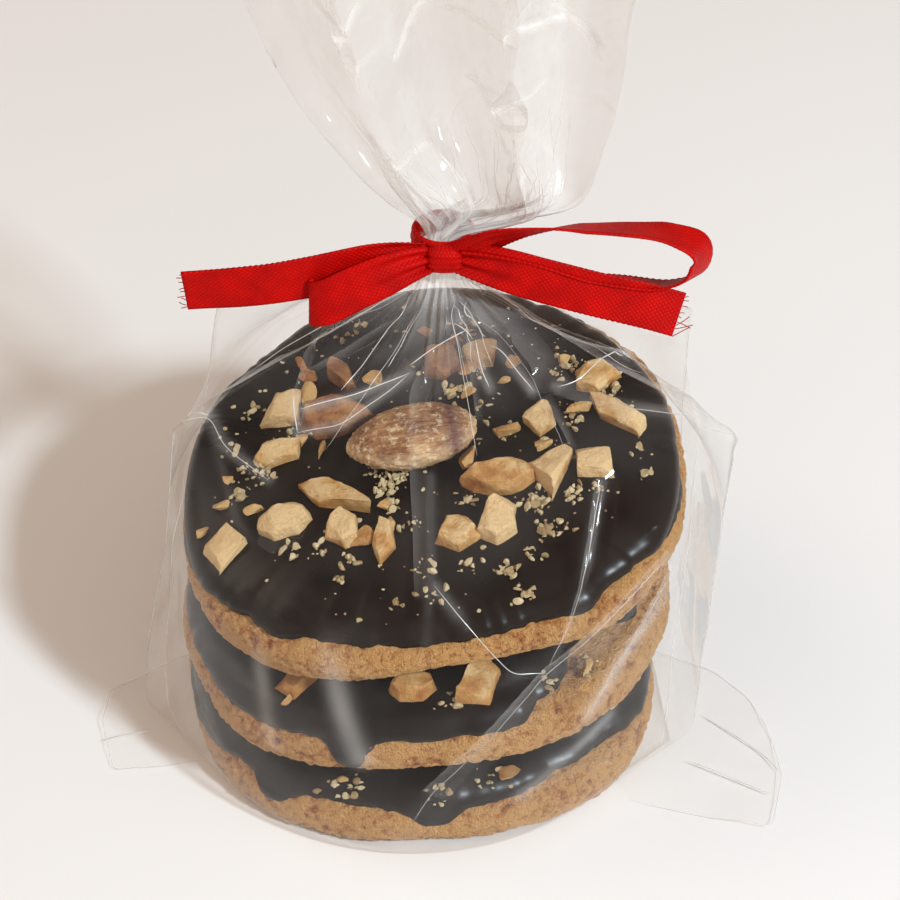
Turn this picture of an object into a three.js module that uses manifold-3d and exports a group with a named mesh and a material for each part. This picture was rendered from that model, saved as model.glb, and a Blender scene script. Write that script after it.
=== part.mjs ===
// A clear gift bag of three round almond cookies, tied at its neck with a red ribbon bow.
// Millimetres, +Z up. The origin is the middle of the bottom cookie's underside, on the table;
// the front of the bag looks along -Y.

import * as THREE from 'three';
import { ConvexGeometry } from 'three/addons/geometries/ConvexGeometry.js';
import { mergeVertices } from 'three/addons/utils/BufferGeometryUtils.js';
import Module from 'manifold-3d';

const wasm = await Module();
wasm.setup();

// ---------------------------------------------------------------- driving dimensions

const TOUCH_GAP = 0.35; // left between pieces that rest on each other

const COOKIE_RADIUS = 40;
const BISCUIT_THICKNESS = 8;
const RIM_LINE = 3.5; // height of the biscuit's widest line above its underside
const CHOCOLATE_RADIUS = 37.2;
const CHOCOLATE_HEIGHT = 4.4;
const ROUND_STEPS = 40; // facets round a cookie

// Each cookie: middle of its underside, how far its right side and its back are lifted (degrees),
// the phase that makes the rim of its chocolate its own, the lobes of its hand-shaped outline
// ([where in degrees, half width in degrees, how far it stands out]), and its worn side: where it
// is, its half width, and how far the underside's edge is lifted and drawn in there.
const COOKIES = [
  {
    name: 'bottom', at: [0, 0, 0], rightUp: 0, backUp: 0, phase: 0.4,
    lobes: [[190, 20, -0.9], [225, 24, 1], [276, 26, -1.2], [320, 26, 1.6], [0, 22, -0.9]],
    worn: { at: 276, width: 34, lift: 0.8, undercut: 0 },
  },
  {
    name: 'middle', at: [1.1, 1.1, 15.4], rightUp: 4, backUp: -1.7, phase: 2.1,
    lobes: [[228, 24, 1.8], [272, 26, -0.9], [325, 26, 1]],
    worn: { at: 270, width: 34, lift: 1, undercut: 0.3 },
  },
  {
    name: 'top', at: [2.3, 2.5, 37.1], rightUp: 6.2, backUp: 6.5, phase: 4,
    lobes: [[182, 22, -0.7], [222, 26, 1.6], [278, 26, -2.2], [330, 24, 0.9], [40, 24, 1.4]],
    worn: { at: 278, width: 34, lift: 3.6, undercut: 1.8 },
  },
];

const ALMOND = { length: 21.5, width: 12.5, thickness: 8 };
const ALMOND_TAPER = 0.28; // how much narrower the pointed end is
// The whole almond in the middle of the top cookie, and the one that props the top cookie up.
const ALMONDS = [
  { on: 'top', at: [-1.4, -1.8], turn: 10 },
  { on: 'middle', at: [1.5, 2], turn: 35 },
];

// Large pieces of nut: name, cookie, place on it from its middle, length, width, height,
// turn (degrees), and whether the piece is a rounded half almond or an angular chip.
const NUT_PIECES = [
  { name: 'half_left', on: 'top', at: [-14.2, 6.2], size: [12.5, 7.4, 4.2], turn: 12, half: true },
  { name: 'half_right', on: 'top', at: [11.5, -8.2], size: [12.2, 6.2, 3.6], turn: 2, half: true },
  { name: 'half_front', on: 'top', at: [-20.6, -13.4], size: [9.4, 5.8, 3.8], turn: 14, half: true },
  { name: 'half_long', on: 'top', at: [-13.4, -10.2], size: [12.6, 4.4, 3.4], turn: -24, half: true },
  { name: 'chip_front_left', on: 'top', at: [-12.6, -16.0], size: [6.6, 5.4, 3.8], turn: 70 },
  { name: 'chip_splinter', on: 'top', at: [-5.4, -19.4], size: [8.6, 3.6, 3.2], turn: 80 },
  { name: 'chip_far_left', on: 'top', at: [-30.4, -16.4], size: [8.0, 5.8, 3.0], turn: -8 },
  { name: 'chip_left', on: 'top', at: [-23.6, 0.2], size: [8.6, 5.4, 3.2], turn: -10 },
  { name: 'chip_back_left', on: 'top', at: [-22.8, 10.0], size: [8.6, 5.8, 3.8], turn: 82 },
  { name: 'chip_back', on: 'top', at: [-13.5, 15.8], size: [7.8, 3.8, 3.6], turn: -62 },
  { name: 'chip_front_right', on: 'top', at: [11.7, -16.8], size: [8.0, 5.4, 4.0], turn: 56 },
  { name: 'chip_front', on: 'top', at: [5.1, -18.2], size: [6.8, 6.0, 3.6], turn: 20 },
  { name: 'chip_corner', on: 'top', at: [19.7, -8.4], size: [6.4, 5.2, 3.8], turn: 84 },
  { name: 'chip_square', on: 'top', at: [26.2, -6.2], size: [6.8, 6.6, 3.2], turn: 4 },
  { name: 'chip_right', on: 'top', at: [30.8, 3.9], size: [11.2, 4.8, 3.2], turn: -40 },
  { name: 'chip_back_right', on: 'top', at: [27.2, 12.2], size: [8.4, 5.8, 3.4], turn: 35 },
  { name: 'chip_middle_right', on: 'top', at: [18.2, 3.6], size: [7.2, 4.4, 3.4], turn: 80 },
  { name: 'chip_rear', on: 'top', at: [2.6, 16.6], size: [6.2, 5.4, 3.8], turn: 30 },
  { name: 'chip_rear_right', on: 'top', at: [8.9, 18.4], size: [6.2, 5.4, 3.4], turn: 60 },
  { name: 'chip_right', on: 'middle', at: [9.4, -31.2], size: [8.0, 6.0, 4.2], turn: 70 },
  { name: 'chip_front', on: 'middle', at: [-1.3, -31.4], size: [7.6, 5.2, 3.8], turn: 8 },
  { name: 'chip_left', on: 'middle', at: [-18.6, -29.0], size: [5.8, 4.4, 3.2], turn: 40 },
];

// The bag. Its film follows a round core that hugs the cookies and is drawn in to the neck;
// four creases stand out from the core, with the side gussets folded in between them.
const FILM_WALL = 1.2;
const CORE_RADIUS = 43.4;
const NECK = { x: 4, y: 8, low: 79.5, high: 87, radius: 3.2 };
const POCKET_TOP = 66; // where the space over the top cookie closes

// Each crease from the table up: foot, shoulder corner, and where it runs in to the neck.
const CREASES = [
  { foot: [44.8, -19], shoulder: [46.5, -15, 64.5] },
  { foot: [44.5, 19], shoulder: [42.5, 14, 64.5] },
  { foot: [-44.5, 22], shoulder: [-31, 21, 68] },
  { foot: [-47, -12], shoulder: [-37, -5, 61] },
];
const RIDGE_END = 0.97; // share of the way to the neck's middle where a ridge is lost in the neck
const CREASE_STEPS = [18, 7, 16, 8]; // facets from each crease to the one before it, front first

// Levels of the core: height of its middle, radius, and the slope of the level to the right and back.
const BAG_LEVELS = [
  { z: 0, radius: 41.8, right: 0, back: 0 },
  { z: 4, radius: CORE_RADIUS, right: 0, back: 0 },
  { z: 19, radius: CORE_RADIUS, right: 0.024, back: -0.03 },
  { z: 32, radius: CORE_RADIUS, right: 0.07, back: 0.03 },
  { z: 41, radius: CORE_RADIUS, right: 0.105, back: 0.087 },
  { z: 46, radius: CORE_RADIUS - 0.3, right: 0.105, back: 0.087 },
  { z: 51, radius: 41.2, right: 0.105, back: 0.087 },
  { z: 56.5, radius: 33, right: 0.08, back: 0.06 },
  { z: 61, radius: 26.2, right: 0.06, back: 0.04 },
  { z: 64.5, radius: 20.4, right: 0.045, back: 0.025 },
  { z: 68, radius: 14.8, right: 0.03, back: 0.01 },
  { z: 72, radius: 9.6, right: 0.01, back: 0 },
  { z: 75.5, radius: 6.4, right: 0, back: 0 },
  { z: 78, radius: 4.4, right: 0, back: 0 },
];

// The gathered mouth above the neck: a ruffled fan, left and right edge and ruffle depth by height.
const MOUTH_LEVELS = [
  { z: 86, left: 1.9, right: 6.0, depth: 0.1, thick: 3.2 },
  { z: 87.15, left: 1.9, right: 6.0, depth: 0.1, thick: 3.2 },
  { z: 87.9, left: -0.5, right: 13, depth: 0.8, thick: 3 },
  { z: 88.8, left: -2.4, right: 21, depth: 1.2, thick: 2.6 },
  { z: 90.2, left: -4.2, right: 24, depth: 1.8, thick: 2.6 },
  { z: 93, left: -7.6, right: 25.4, depth: 3.5, thick: 2.6 },
  { z: 97, left: -11.2, right: 26.5, depth: 5.5, thick: 2.6 },
  { z: 103.3, left: -16.2, right: 27.6, depth: 7.6, thick: 2.4 },
  { z: 111.6, left: -20.6, right: 28.9, depth: 9, thick: 2.2 },
  { z: 124, left: -25.3, right: 30.2, depth: 10, thick: 2 },
  { z: 138, left: -28.5, right: 32, depth: 10.6, thick: 1.8 },
];
const MOUTH_RUFFLES = 2.4;
const MOUTH_STEPS = 26;
const MOUTH_LEAN = 0.05; // how far the mouth leans back for each millimetre of height

// Flat corners of film that stick out on the table, as outlines.
const EAR_THICKNESS = 1.1;
const RIGHT_EAR = [[30, -30], [56.6, -36], [59.5, -25], [58.6, -16], [56, -8], [50.5, -2], [36, 4]];
const LEFT_EAR = [[-36, -22], [-50.5, -24], [-53.4, -14], [-53, -6], [-36, 4]];

// The ribbon bow.
const RIBBON_WIDTH = 6.6;
const RIBBON_THICKNESS = 0.9;
const RIBBON_GATHERED = 4.2; // its width where the knot gathers it
const RIBBON_SPREAD = 11; // how far from the knot it has its full width again
const KNOT = { at: [4.2, 2.7, 84.9], size: [4.8, 2.6, 4.2] };

// Each run of ribbon: points along its middle, and how its width stands at even steps along it:
// lean back from upright and swing to the right (degrees). The loops come back to the knot.
const RIBBON_RUNS = [
  {
    path: [[2, 3, 85], [-5.2, 2.2, 84.3], [-16.9, 0.8, 82.4], [-25.6, 0.2, 81.6], [-33.8, 0, 81]],
    width: [[10, 0], [2, 0]],
  },
  {
    path: [
      [6, 3, 84.9], [12.3, 1.6, 84], [19.6, 0.3, 82.4], [26.9, -0.6, 80.7], [34.3, -1.2, 79],
      [38.6, -1.4, 77.7],
    ],
    width: [[14, 0], [24, 0]],
  },
  {
    path: [
      [6, 3, 85.6], [12.2, 1.6, 89.5], [19.3, 1.2, 91.1], [26.5, 1.4, 91.1], [33.7, 1.8, 90.3],
      [37.9, 2.2, 88.9], [40.8, 2.4, 87], [41.5, 2.2, 84.8], [40.7, 2, 82.4], [38.2, 2.2, 80.8],
      [34.4, 2.4, 80.2], [27, 2.6, 81.2], [19.7, 3, 82.4], [12.3, 3.3, 83.6], [6, 3.4, 84.6],
    ],
    width: [[-20, 0], [-66, -30], [-70, -35], [-60, -30], [-20, 0]],
  },
  {
    path: [
      [2, 2.2, 85], [-2.3, 0.6, 84.4], [-8.1, -1, 82.5], [-13.1, -1.9, 80.3], [-15.7, -0.6, 79.2],
      [-13.6, 0.9, 79.4], [-9.7, 1.2, 81.2], [-4.5, 2, 83.2], [2, 3, 84.8],
    ],
    width: [[16, 0], [18, 0], [12, 0]],
  },
];

// ---------------------------------------------------------------- materials

const MATERIALS = {
  biscuit: { color: 0xb9783c, roughness: 0.9, metalness: 0 },
  chocolate: { color: 0x2a1d1a, roughness: 0.35, metalness: 0 },
  nut: { color: 0xcfa466, roughness: 0.7, metalness: 0 },
  almond: { color: 0x9a6a42, roughness: 0.75, metalness: 0 },
  film: { color: 0xe8e4e2, roughness: 0.1, metalness: 0, transparent: true, opacity: 0.25 },
  ribbon: { color: 0xc4160f, roughness: 0.45, metalness: 0 },
};

function material(name) {
  return new THREE.MeshStandardMaterial({ name, ...MATERIALS[name] });
}

// ---------------------------------------------------------------- closed surfaces

// A closed geometry from points and triangles, turned so that its faces point out.
function closedGeometry(points, triangles) {
  const volume = triangles.reduce((sum, [a, b, c]) => {
    const cross = new THREE.Vector3().crossVectors(points[b], points[c]);
    return sum + points[a].dot(cross);
  }, 0);
  const outward = volume > 0 ? triangles : triangles.map(([a, b, c]) => [a, c, b]);
  const geometry = new THREE.BufferGeometry();
  const positions = points.flatMap((p) => p.toArray());
  geometry.setAttribute('position', new THREE.Float32BufferAttribute(positions, 3));
  geometry.setIndex(outward.flat());
  return geometry;
}

// The side wall between neighbouring rings that all have the same number of points.
function wallTriangles(ringCount, ringSize) {
  const triangles = [];
  for (let ring = 0; ring + 1 < ringCount; ring += 1) {
    for (let i = 0; i < ringSize; i += 1) {
      const next = (i + 1) % ringSize;
      const a = ring * ringSize + i;
      const b = ring * ringSize + next;
      triangles.push([a, b, b + ringSize], [a, b + ringSize, a + ringSize]);
    }
  }
  return triangles;
}

// A loft through round rings, closed by a fan from an apex at each end.
function fanLoft(rings, firstApex, lastApex) {
  const size = rings[0].length;
  const points = [...rings.flat(), firstApex, lastApex];
  const triangles = wallTriangles(rings.length, size);
  const lastRing = (rings.length - 1) * size;
  for (let i = 0; i < size; i += 1) {
    const next = (i + 1) % size;
    triangles.push([next, i, points.length - 2]);
    triangles.push([lastRing + i, lastRing + next, points.length - 1]);
  }
  return closedGeometry(points, triangles);
}

// A loft through flat two-sided outlines: each ring runs out along one side and back along the other,
// so each end is closed by the ladder between its two sides.
function ladderLoft(rings) {
  const size = rings[0].length;
  const triangles = wallTriangles(rings.length, size);
  const lastRing = (rings.length - 1) * size;
  for (let i = 0; i + 1 < size / 2; i += 1) {
    const across = size - 1 - i;
    triangles.push([i + 1, i, across], [i + 1, across, across - 1]);
    const far = [i, i + 1, across, across - 1].map((index) => index + lastRing);
    triangles.push([far[0], far[1], far[2]], [far[1], far[3], far[2]]);
  }
  return closedGeometry(rings.flat(), triangles);
}

function centroid(ring) {
  const sum = ring.reduce((total, p) => total.add(p), new THREE.Vector3());
  return sum.divideScalar(ring.length);
}

function toManifold(geometry) {
  const bare = geometry.clone();
  bare.deleteAttribute('normal');
  bare.deleteAttribute('uv');
  const merged = mergeVertices(bare, 1e-4);
  return new wasm.Manifold(new wasm.Mesh({
    numProp: 3,
    vertProperties: new Float32Array(merged.attributes.position.array),
    triVerts: new Uint32Array(merged.index.array),
  }));
}

function fromManifold(solid) {
  const mesh = solid.getMesh();
  const geometry = new THREE.BufferGeometry();
  geometry.setAttribute('position', new THREE.Float32BufferAttribute(mesh.vertProperties, 3));
  geometry.setIndex(Array.from(mesh.triVerts));
  return geometry;
}

function joined(geometries) {
  return fromManifold(geometries.map(toManifold).reduce((whole, piece) => whole.add(piece)));
}

function namedMesh(name, geometry, materialName) {
  const mesh = new THREE.Mesh(geometry, material(materialName));
  mesh.name = name;
  return mesh;
}

// ---------------------------------------------------------------- cookies

// How much a direction belongs to a lobe or a worn side: 1 in its middle, fading on both sides.
function nearness(angle, at, width) {
  const away = angle - THREE.MathUtils.degToRad(at);
  const turned = Math.atan2(Math.sin(away), Math.cos(away)) / THREE.MathUtils.degToRad(width);
  return Math.exp(-(turned ** 2));
}

// How far a cookie's outline stands out from its circle.
function outlineReach(angle, lobes) {
  return lobes.reduce((sum, [at, width, reach]) => sum + reach * nearness(angle, at, width), 0);
}

function ringAt(radius, z, extra, lift = () => 0) {
  return Array.from({ length: ROUND_STEPS }, (_, i) => {
    const angle = (2 * Math.PI * i) / ROUND_STEPS;
    const reach = radius + extra(angle);
    return new THREE.Vector3(reach * Math.cos(angle), reach * Math.sin(angle), z + lift(angle));
  });
}

function biscuitGeometry({ lobes, worn }) {
  const t = BISCUIT_THICKNESS;
  const profile = [
    [COOKIE_RADIUS - 1.9, 0],
    [COOKIE_RADIUS - 0.6, 0.2 * t],
    [COOKIE_RADIUS, RIM_LINE],
    [COOKIE_RADIUS - 0.4, 0.7 * t],
    [COOKIE_RADIUS - 1.5, 0.9 * t],
    [COOKIE_RADIUS - 3.2, t],
  ];
  const rings = profile.map(([r, z]) => {
    const wear = (angle) => (1 - z / t) * nearness(angle, worn.at, worn.width);
    const reach = (angle) => outlineReach(angle, lobes) - worn.undercut * wear(angle);
    return ringAt(r, z, reach, (angle) => worn.lift * wear(angle));
  });
  // The underside's fan starts off the axis, so the middle of the underside is plain.
  const underside = new THREE.Vector3(12, 7, 0);
  return fanLoft(rings, underside, new THREE.Vector3(0, 0, t));
}

// Height of the chocolate above its own underside at a distance from the cookie's middle.
function chocolateHeight(radius) {
  const share = Math.min(radius / CHOCOLATE_RADIUS, 1);
  return CHOCOLATE_HEIGHT * Math.sqrt(1 - share ** 4);
}

// How far the rim of a cookie's chocolate stands out from its circle.
function chocolateRim(angle, { phase, lobes }) {
  const uneven = 0.5 * Math.sin(3 * angle + phase) + 0.4 * Math.sin(7 * angle - phase);
  return uneven + outlineReach(angle, lobes);
}

function chocolateGeometry(cookie) {
  const low = BISCUIT_THICKNESS + TOUCH_GAP;
  const rim = (angle) => chocolateRim(angle, cookie);
  const shares = [0.995, 0.96, 0.87, 0.7, 0.4];
  const rings = [
    ringAt(CHOCOLATE_RADIUS - 1.2, low, rim),
    ringAt(CHOCOLATE_RADIUS, low + 0.25, rim),
    ...shares.map((share) => {
      const radius = share * CHOCOLATE_RADIUS;
      return ringAt(radius, low + chocolateHeight(radius), (angle) => share ** 3 * rim(angle));
    }),
  ];
  const top = new THREE.Vector3(0, 0, low + CHOCOLATE_HEIGHT);
  return fanLoft(rings, new THREE.Vector3(0, 0, low), top);
}

// ---------------------------------------------------------------- nuts

function almondGeometry() {
  const geometry = new THREE.IcosahedronGeometry(1, 2);
  const position = geometry.attributes.position;
  for (let i = 0; i < position.count; i += 1) {
    const along = position.getX(i);
    const waist = 1 - ALMOND_TAPER * Math.max(-along, 0) ** 2;
    position.setXYZ(
      i,
      (along * ALMOND.length) / 2,
      (position.getY(i) * waist * ALMOND.width) / 2,
      ((position.getZ(i) + 1) * ALMOND.thickness) / 2,
    );
  }
  return mergeVertices(bareCopy(geometry), 1e-3);
}

function bareCopy(geometry) {
  const bare = geometry.clone();
  bare.deleteAttribute('normal');
  bare.deleteAttribute('uv');
  return bare;
}

// Half an almond lies on its flat side; its back is an uneven low dome.
function halfAlmondGeometry([length, width, height], phase) {
  const points = [];
  const levels = [[0.82, 0], [1, 0.25], [0.86, 0.62], [0.5, 0.94]];
  for (const [share, level] of levels) {
    for (let i = 0; i < 9; i += 1) {
      const angle = (2 * Math.PI * i) / 9 + level;
      const uneven = 1 + 0.09 * Math.sin(3 * angle + phase);
      const x = (share * uneven * length * Math.cos(angle)) / 2;
      const y = (share * width * Math.sin(angle) * (1 - 0.22 * Math.cos(angle))) / 2;
      points.push(new THREE.Vector3(x, y, level * height));
    }
  }
  return mergeVertices(bareCopy(new ConvexGeometry(points)), 1e-4);
}

// A chip is an angular lump with flat cut faces and one flat side down.
function chipGeometry([length, width, height], phase) {
  const points = [];
  const levels = [[0.85, 0], [1, 0.45], [0.62, 1]];
  for (const [share, level] of levels) {
    for (let i = 0; i < 5; i += 1) {
      const angle = (2 * Math.PI * i) / 5 + phase + 0.5 * level;
      const uneven = 1 + 0.16 * Math.sin(2.3 * i + 2 * phase);
      const x = (share * uneven * length * Math.cos(angle)) / 2;
      const y = (share * uneven * width * Math.sin(angle)) / 2;
      points.push(new THREE.Vector3(x, y, level * height * (1 - 0.1 * Math.cos(angle))));
    }
  }
  return mergeVertices(bareCopy(new ConvexGeometry(points)), 1e-4);
}

// Height of a cookie's chocolate, above the biscuit's underside, at a place on the cookie.
function chocolateSurface(x, y, cookie) {
  const radius = Math.hypot(x, y);
  const reach = (radius / CHOCOLATE_RADIUS) ** 3 * chocolateRim(Math.atan2(y, x), cookie);
  return BISCUIT_THICKNESS + TOUCH_GAP + chocolateHeight(radius - reach);
}

// Lays a piece on a cookie's chocolate at a place, square to the dome there.
function layOnChocolate(mesh, cookie, [x, y], turnDegrees) {
  const step = 0.5;
  const surface = chocolateSurface(x, y, cookie);
  const slopeX = (chocolateSurface(x + step, y, cookie) - surface) / step;
  const slopeY = (chocolateSurface(x, y + step, cookie) - surface) / step;
  const normal = new THREE.Vector3(-slopeX, -slopeY, 1).normalize();
  const lift = new THREE.Quaternion().setFromUnitVectors(new THREE.Vector3(0, 0, 1), normal);
  const turn = new THREE.Quaternion().setFromAxisAngle(
    new THREE.Vector3(0, 0, 1),
    THREE.MathUtils.degToRad(turnDegrees),
  );
  mesh.quaternion.copy(lift.multiply(turn));
  mesh.position.set(x, y, surface).addScaledVector(normal, TOUCH_GAP);
  return mesh;
}

function nutMesh(piece, index, cookie) {
  const phase = 0.7 + 1.9 * index;
  const geometry = piece.half
    ? halfAlmondGeometry(piece.size, phase)
    : chipGeometry(piece.size, phase);
  const mesh = namedMesh(`nut_${piece.on}_${piece.name}`, geometry, 'nut');
  return layOnChocolate(mesh, cookie, piece.at, piece.turn);
}

// A cookie is a tilted group: biscuit, chocolate, and the nuts that lie on the chocolate.
function cookieGroup(cookie) {
  const group = new THREE.Group();
  group.position.set(...cookie.at);
  group.rotation.set(
    THREE.MathUtils.degToRad(cookie.backUp),
    THREE.MathUtils.degToRad(-cookie.rightUp),
    0,
  );
  const name = `cookie_${cookie.name}`;
  group.add(namedMesh(`${name}_biscuit`, biscuitGeometry(cookie), 'biscuit'));
  group.add(namedMesh(`${name}_chocolate`, chocolateGeometry(cookie), 'chocolate'));
  NUT_PIECES.forEach((piece, index) => {
    if (piece.on === cookie.name) {
      group.add(nutMesh(piece, index, cookie));
    }
  });
  return group;
}

// ---------------------------------------------------------------- bag

function between(low, high, share) {
  return low + (high - low) * share;
}

// Where a crease stands at a height: up its edge to the shoulder, then in along the ridge to the neck.
function creasePoint(crease, z) {
  const [sx, sy, sz] = crease.shoulder;
  if (z <= sz) {
    const share = z / sz;
    return [between(crease.foot[0], sx, share), between(crease.foot[1], sy, share)];
  }
  const share = Math.min((z - sz) / (NECK.low - sz), RIDGE_END);
  return [between(sx, NECK.x, share), between(sy, NECK.y, share)];
}

// The core's middle moves from the cookies' common middle to the neck.
function coreMiddle(z) {
  const share = Math.min(z / NECK.low, 1);
  return [between(0, NECK.x, share ** 1.2), between(0, NECK.y, share ** 2)];
}

// Reach of the film from the core's middle at an angle: the core, or the straight film that runs
// from it to a crease.
function filmReach(angle, radius, creases) {
  return creases.reduce((reach, { direction, distance }) => {
    if (distance <= radius) {
      return reach;
    }
    const spread = Math.acos(radius / distance);
    const away = Math.abs(Math.atan2(Math.sin(angle - direction), Math.cos(angle - direction)));
    return away < spread ? Math.max(reach, radius / Math.cos(spread - away)) : reach;
  }, radius);
}

// Angles of a ring's points: each stretch between two creases is divided evenly.
function ringAngles(creases) {
  return creases.flatMap(({ direction }, index) => {
    const before = creases[(index + creases.length - 1) % creases.length].direction;
    const turn = (direction - before + 2 * Math.PI) % (2 * Math.PI);
    const steps = CREASE_STEPS[index];
    return Array.from({ length: steps }, (_, i) => before + (turn * i) / steps);
  });
}

function bagRing({ z, radius, right, back }) {
  const [cx, cy] = coreMiddle(z);
  const creases = CREASES.map((crease) => {
    const [x, y] = creasePoint(crease, z);
    return { direction: Math.atan2(y - cy, x - cx), distance: Math.hypot(x - cx, y - cy) };
  });
  return ringAngles(creases).map((angle) => {
    const reach = filmReach(angle, radius, creases);
    const dx = reach * Math.cos(angle);
    const dy = reach * Math.sin(angle);
    return new THREE.Vector3(cx + dx, cy + dy, z + right * dx + back * dy);
  });
}

function bagBodyGeometry() {
  const neckLevels = [NECK.low, NECK.high].map((z) => ({ z, radius: NECK.radius, right: 0, back: 0 }));
  const rings = [...BAG_LEVELS, ...neckLevels].map(bagRing);
  return fanLoft(rings, centroid(rings[0]), centroid(rings[rings.length - 1]));
}

// The round space that holds the cookies, open at the table.
function pocketGeometry() {
  const inside = BAG_LEVELS.filter(({ z }) => z < POCKET_TOP).map((level) => {
    const z = level.z === 0 ? -1 : level.z;
    const [cx, cy] = coreMiddle(level.z);
    return Array.from({ length: ROUND_STEPS }, (_, i) => {
      const angle = (2 * Math.PI * i) / ROUND_STEPS;
      const dx = (level.radius - FILM_WALL) * Math.cos(angle);
      const dy = (level.radius - FILM_WALL) * Math.sin(angle);
      return new THREE.Vector3(cx + dx, cy + dy, z + level.right * dx + level.back * dy);
    });
  });
  const [topX, topY] = coreMiddle(POCKET_TOP);
  return fanLoft(inside, new THREE.Vector3(0, 0, -1), new THREE.Vector3(topX, topY, POCKET_TOP));
}

// One level of the ruffled mouth: a wavy band of film, out along its front and back along its rear.
function mouthRing({ z, left, right, depth, thick }) {
  const middleY = NECK.y + MOUTH_LEAN * (z - NECK.high);
  const waves = 2 * Math.PI * MOUTH_RUFFLES;
  const side = (sign) => Array.from({ length: MOUTH_STEPS + 1 }, (_, i) => {
    const share = i / MOUTH_STEPS;
    const slope = (depth * waves * Math.cos(waves * share + 0.6)) / (right - left);
    const normal = new THREE.Vector2(-slope, 1).normalize().multiplyScalar((sign * thick) / 2);
    const y = middleY + depth * Math.sin(waves * share + 0.6);
    return new THREE.Vector3(between(left, right, share) + normal.x, y + normal.y, z);
  });
  return [...side(-1), ...side(1).reverse()];
}

function earGeometry(outline) {
  const shape = new THREE.Shape(outline.map(([x, y]) => new THREE.Vector2(x, y)));
  return new THREE.ExtrudeGeometry(shape, { depth: EAR_THICKNESS, bevelEnabled: false });
}

function bagGeometry() {
  const mouth = ladderLoft(MOUTH_LEVELS.map(mouthRing));
  const outside = [bagBodyGeometry(), mouth, earGeometry(RIGHT_EAR), earGeometry(LEFT_EAR)];
  const solid = outside.map(toManifold).reduce((whole, piece) => whole.add(piece));
  return fromManifold(solid.subtract(toManifold(pocketGeometry())));
}

// ---------------------------------------------------------------- ribbon

// How the ribbon's width stands at a share of its run, between its even steps.
function widthDirection(width, share) {
  const place = share * (width.length - 1);
  const step = Math.min(Math.floor(place), width.length - 2);
  const [lean, swing] = [0, 1].map((axis) => THREE.MathUtils.degToRad(
    between(width[step][axis], width[step + 1][axis], place - step),
  ));
  const upright = new THREE.Vector3(0, Math.sin(lean), Math.cos(lean)).multiplyScalar(Math.cos(swing));
  return upright.setX(Math.sin(swing));
}

// A flat ribbon along a path, gathered to a narrower width where it leaves the knot.
function ribbonGeometry({ path, width }) {
  const curve = new THREE.CatmullRomCurve3(path.map((p) => new THREE.Vector3(...p)));
  const steps = 4 * (path.length - 1);
  const isLoop = curve.getPointAt(1).distanceTo(curve.getPointAt(0)) < KNOT.size[0];
  const rings = Array.from({ length: steps + 1 }, (_, i) => {
    const share = i / steps;
    const tangent = curve.getTangentAt(share);
    const upright = widthDirection(width, share);
    const across = upright.addScaledVector(tangent, -upright.dot(tangent)).normalize();
    const normal = new THREE.Vector3().crossVectors(tangent, across);
    const fromKnot = curve.getLength() * (isLoop ? Math.min(share, 1 - share) : share);
    const spread = Math.min(fromKnot / RIBBON_SPREAD, 1);
    const halfWidth = between(RIBBON_GATHERED, RIBBON_WIDTH, spread * (2 - spread)) / 2;
    const middle = curve.getPointAt(share);
    return [[-1, -1], [1, -1], [1, 1], [-1, 1]].map(([u, v]) => middle.clone()
      .addScaledVector(across, u * halfWidth)
      .addScaledVector(normal, (v * RIBBON_THICKNESS) / 2));
  });
  return fanLoft(rings, centroid(rings[0]), centroid(rings[steps]));
}

// The turns round the neck, behind the knot.
function wrapGeometry() {
  const inner = NECK.radius + TOUCH_GAP;
  const shape = new THREE.Shape().absarc(0, 0, inner + 1.2, 0, 2 * Math.PI);
  shape.holes.push(new THREE.Path().absarc(0, 0, inner, 0, 2 * Math.PI));
  const geometry = new THREE.ExtrudeGeometry(shape, {
    depth: RIBBON_GATHERED,
    bevelEnabled: false,
    curveSegments: 12,
  });
  geometry.translate(NECK.x, NECK.y, KNOT.at[2] - RIBBON_GATHERED / 2);
  return geometry;
}

function knotGeometry() {
  const geometry = new THREE.SphereGeometry(1, 12, 8);
  const position = geometry.attributes.position;
  const square = (value) => Math.sign(value) * Math.abs(value) ** 0.6;
  for (let i = 0; i < position.count; i += 1) {
    const scaled = [position.getX(i), position.getY(i), position.getZ(i)].map(
      (value, axis) => (square(value) * KNOT.size[axis]) / 2,
    );
    position.setXYZ(i, ...scaled);
  }
  geometry.translate(...KNOT.at);
  return geometry;
}

function bowGeometry() {
  return joined([wrapGeometry(), knotGeometry(), ...RIBBON_RUNS.map(ribbonGeometry)]);
}

// ---------------------------------------------------------------- the pack

const pack = new THREE.Group();
COOKIES.forEach((cookie) => pack.add(cookieGroup(cookie)));

ALMONDS.forEach(({ on, at, turn }) => {
  const almond = namedMesh(`almond_${on}`, almondGeometry(), 'almond');
  const index = COOKIES.findIndex(({ name }) => name === on);
  pack.children[index].add(layOnChocolate(almond, COOKIES[index], at, turn));
});

pack.add(namedMesh('bag', bagGeometry(), 'film'));
pack.add(namedMesh('ribbon_bow', bowGeometry(), 'ribbon'));

export default pack;
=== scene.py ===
import itertools
import math

import bmesh
import bpy
import numpy as np
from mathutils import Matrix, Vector
from mathutils.kdtree import KDTree


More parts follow.
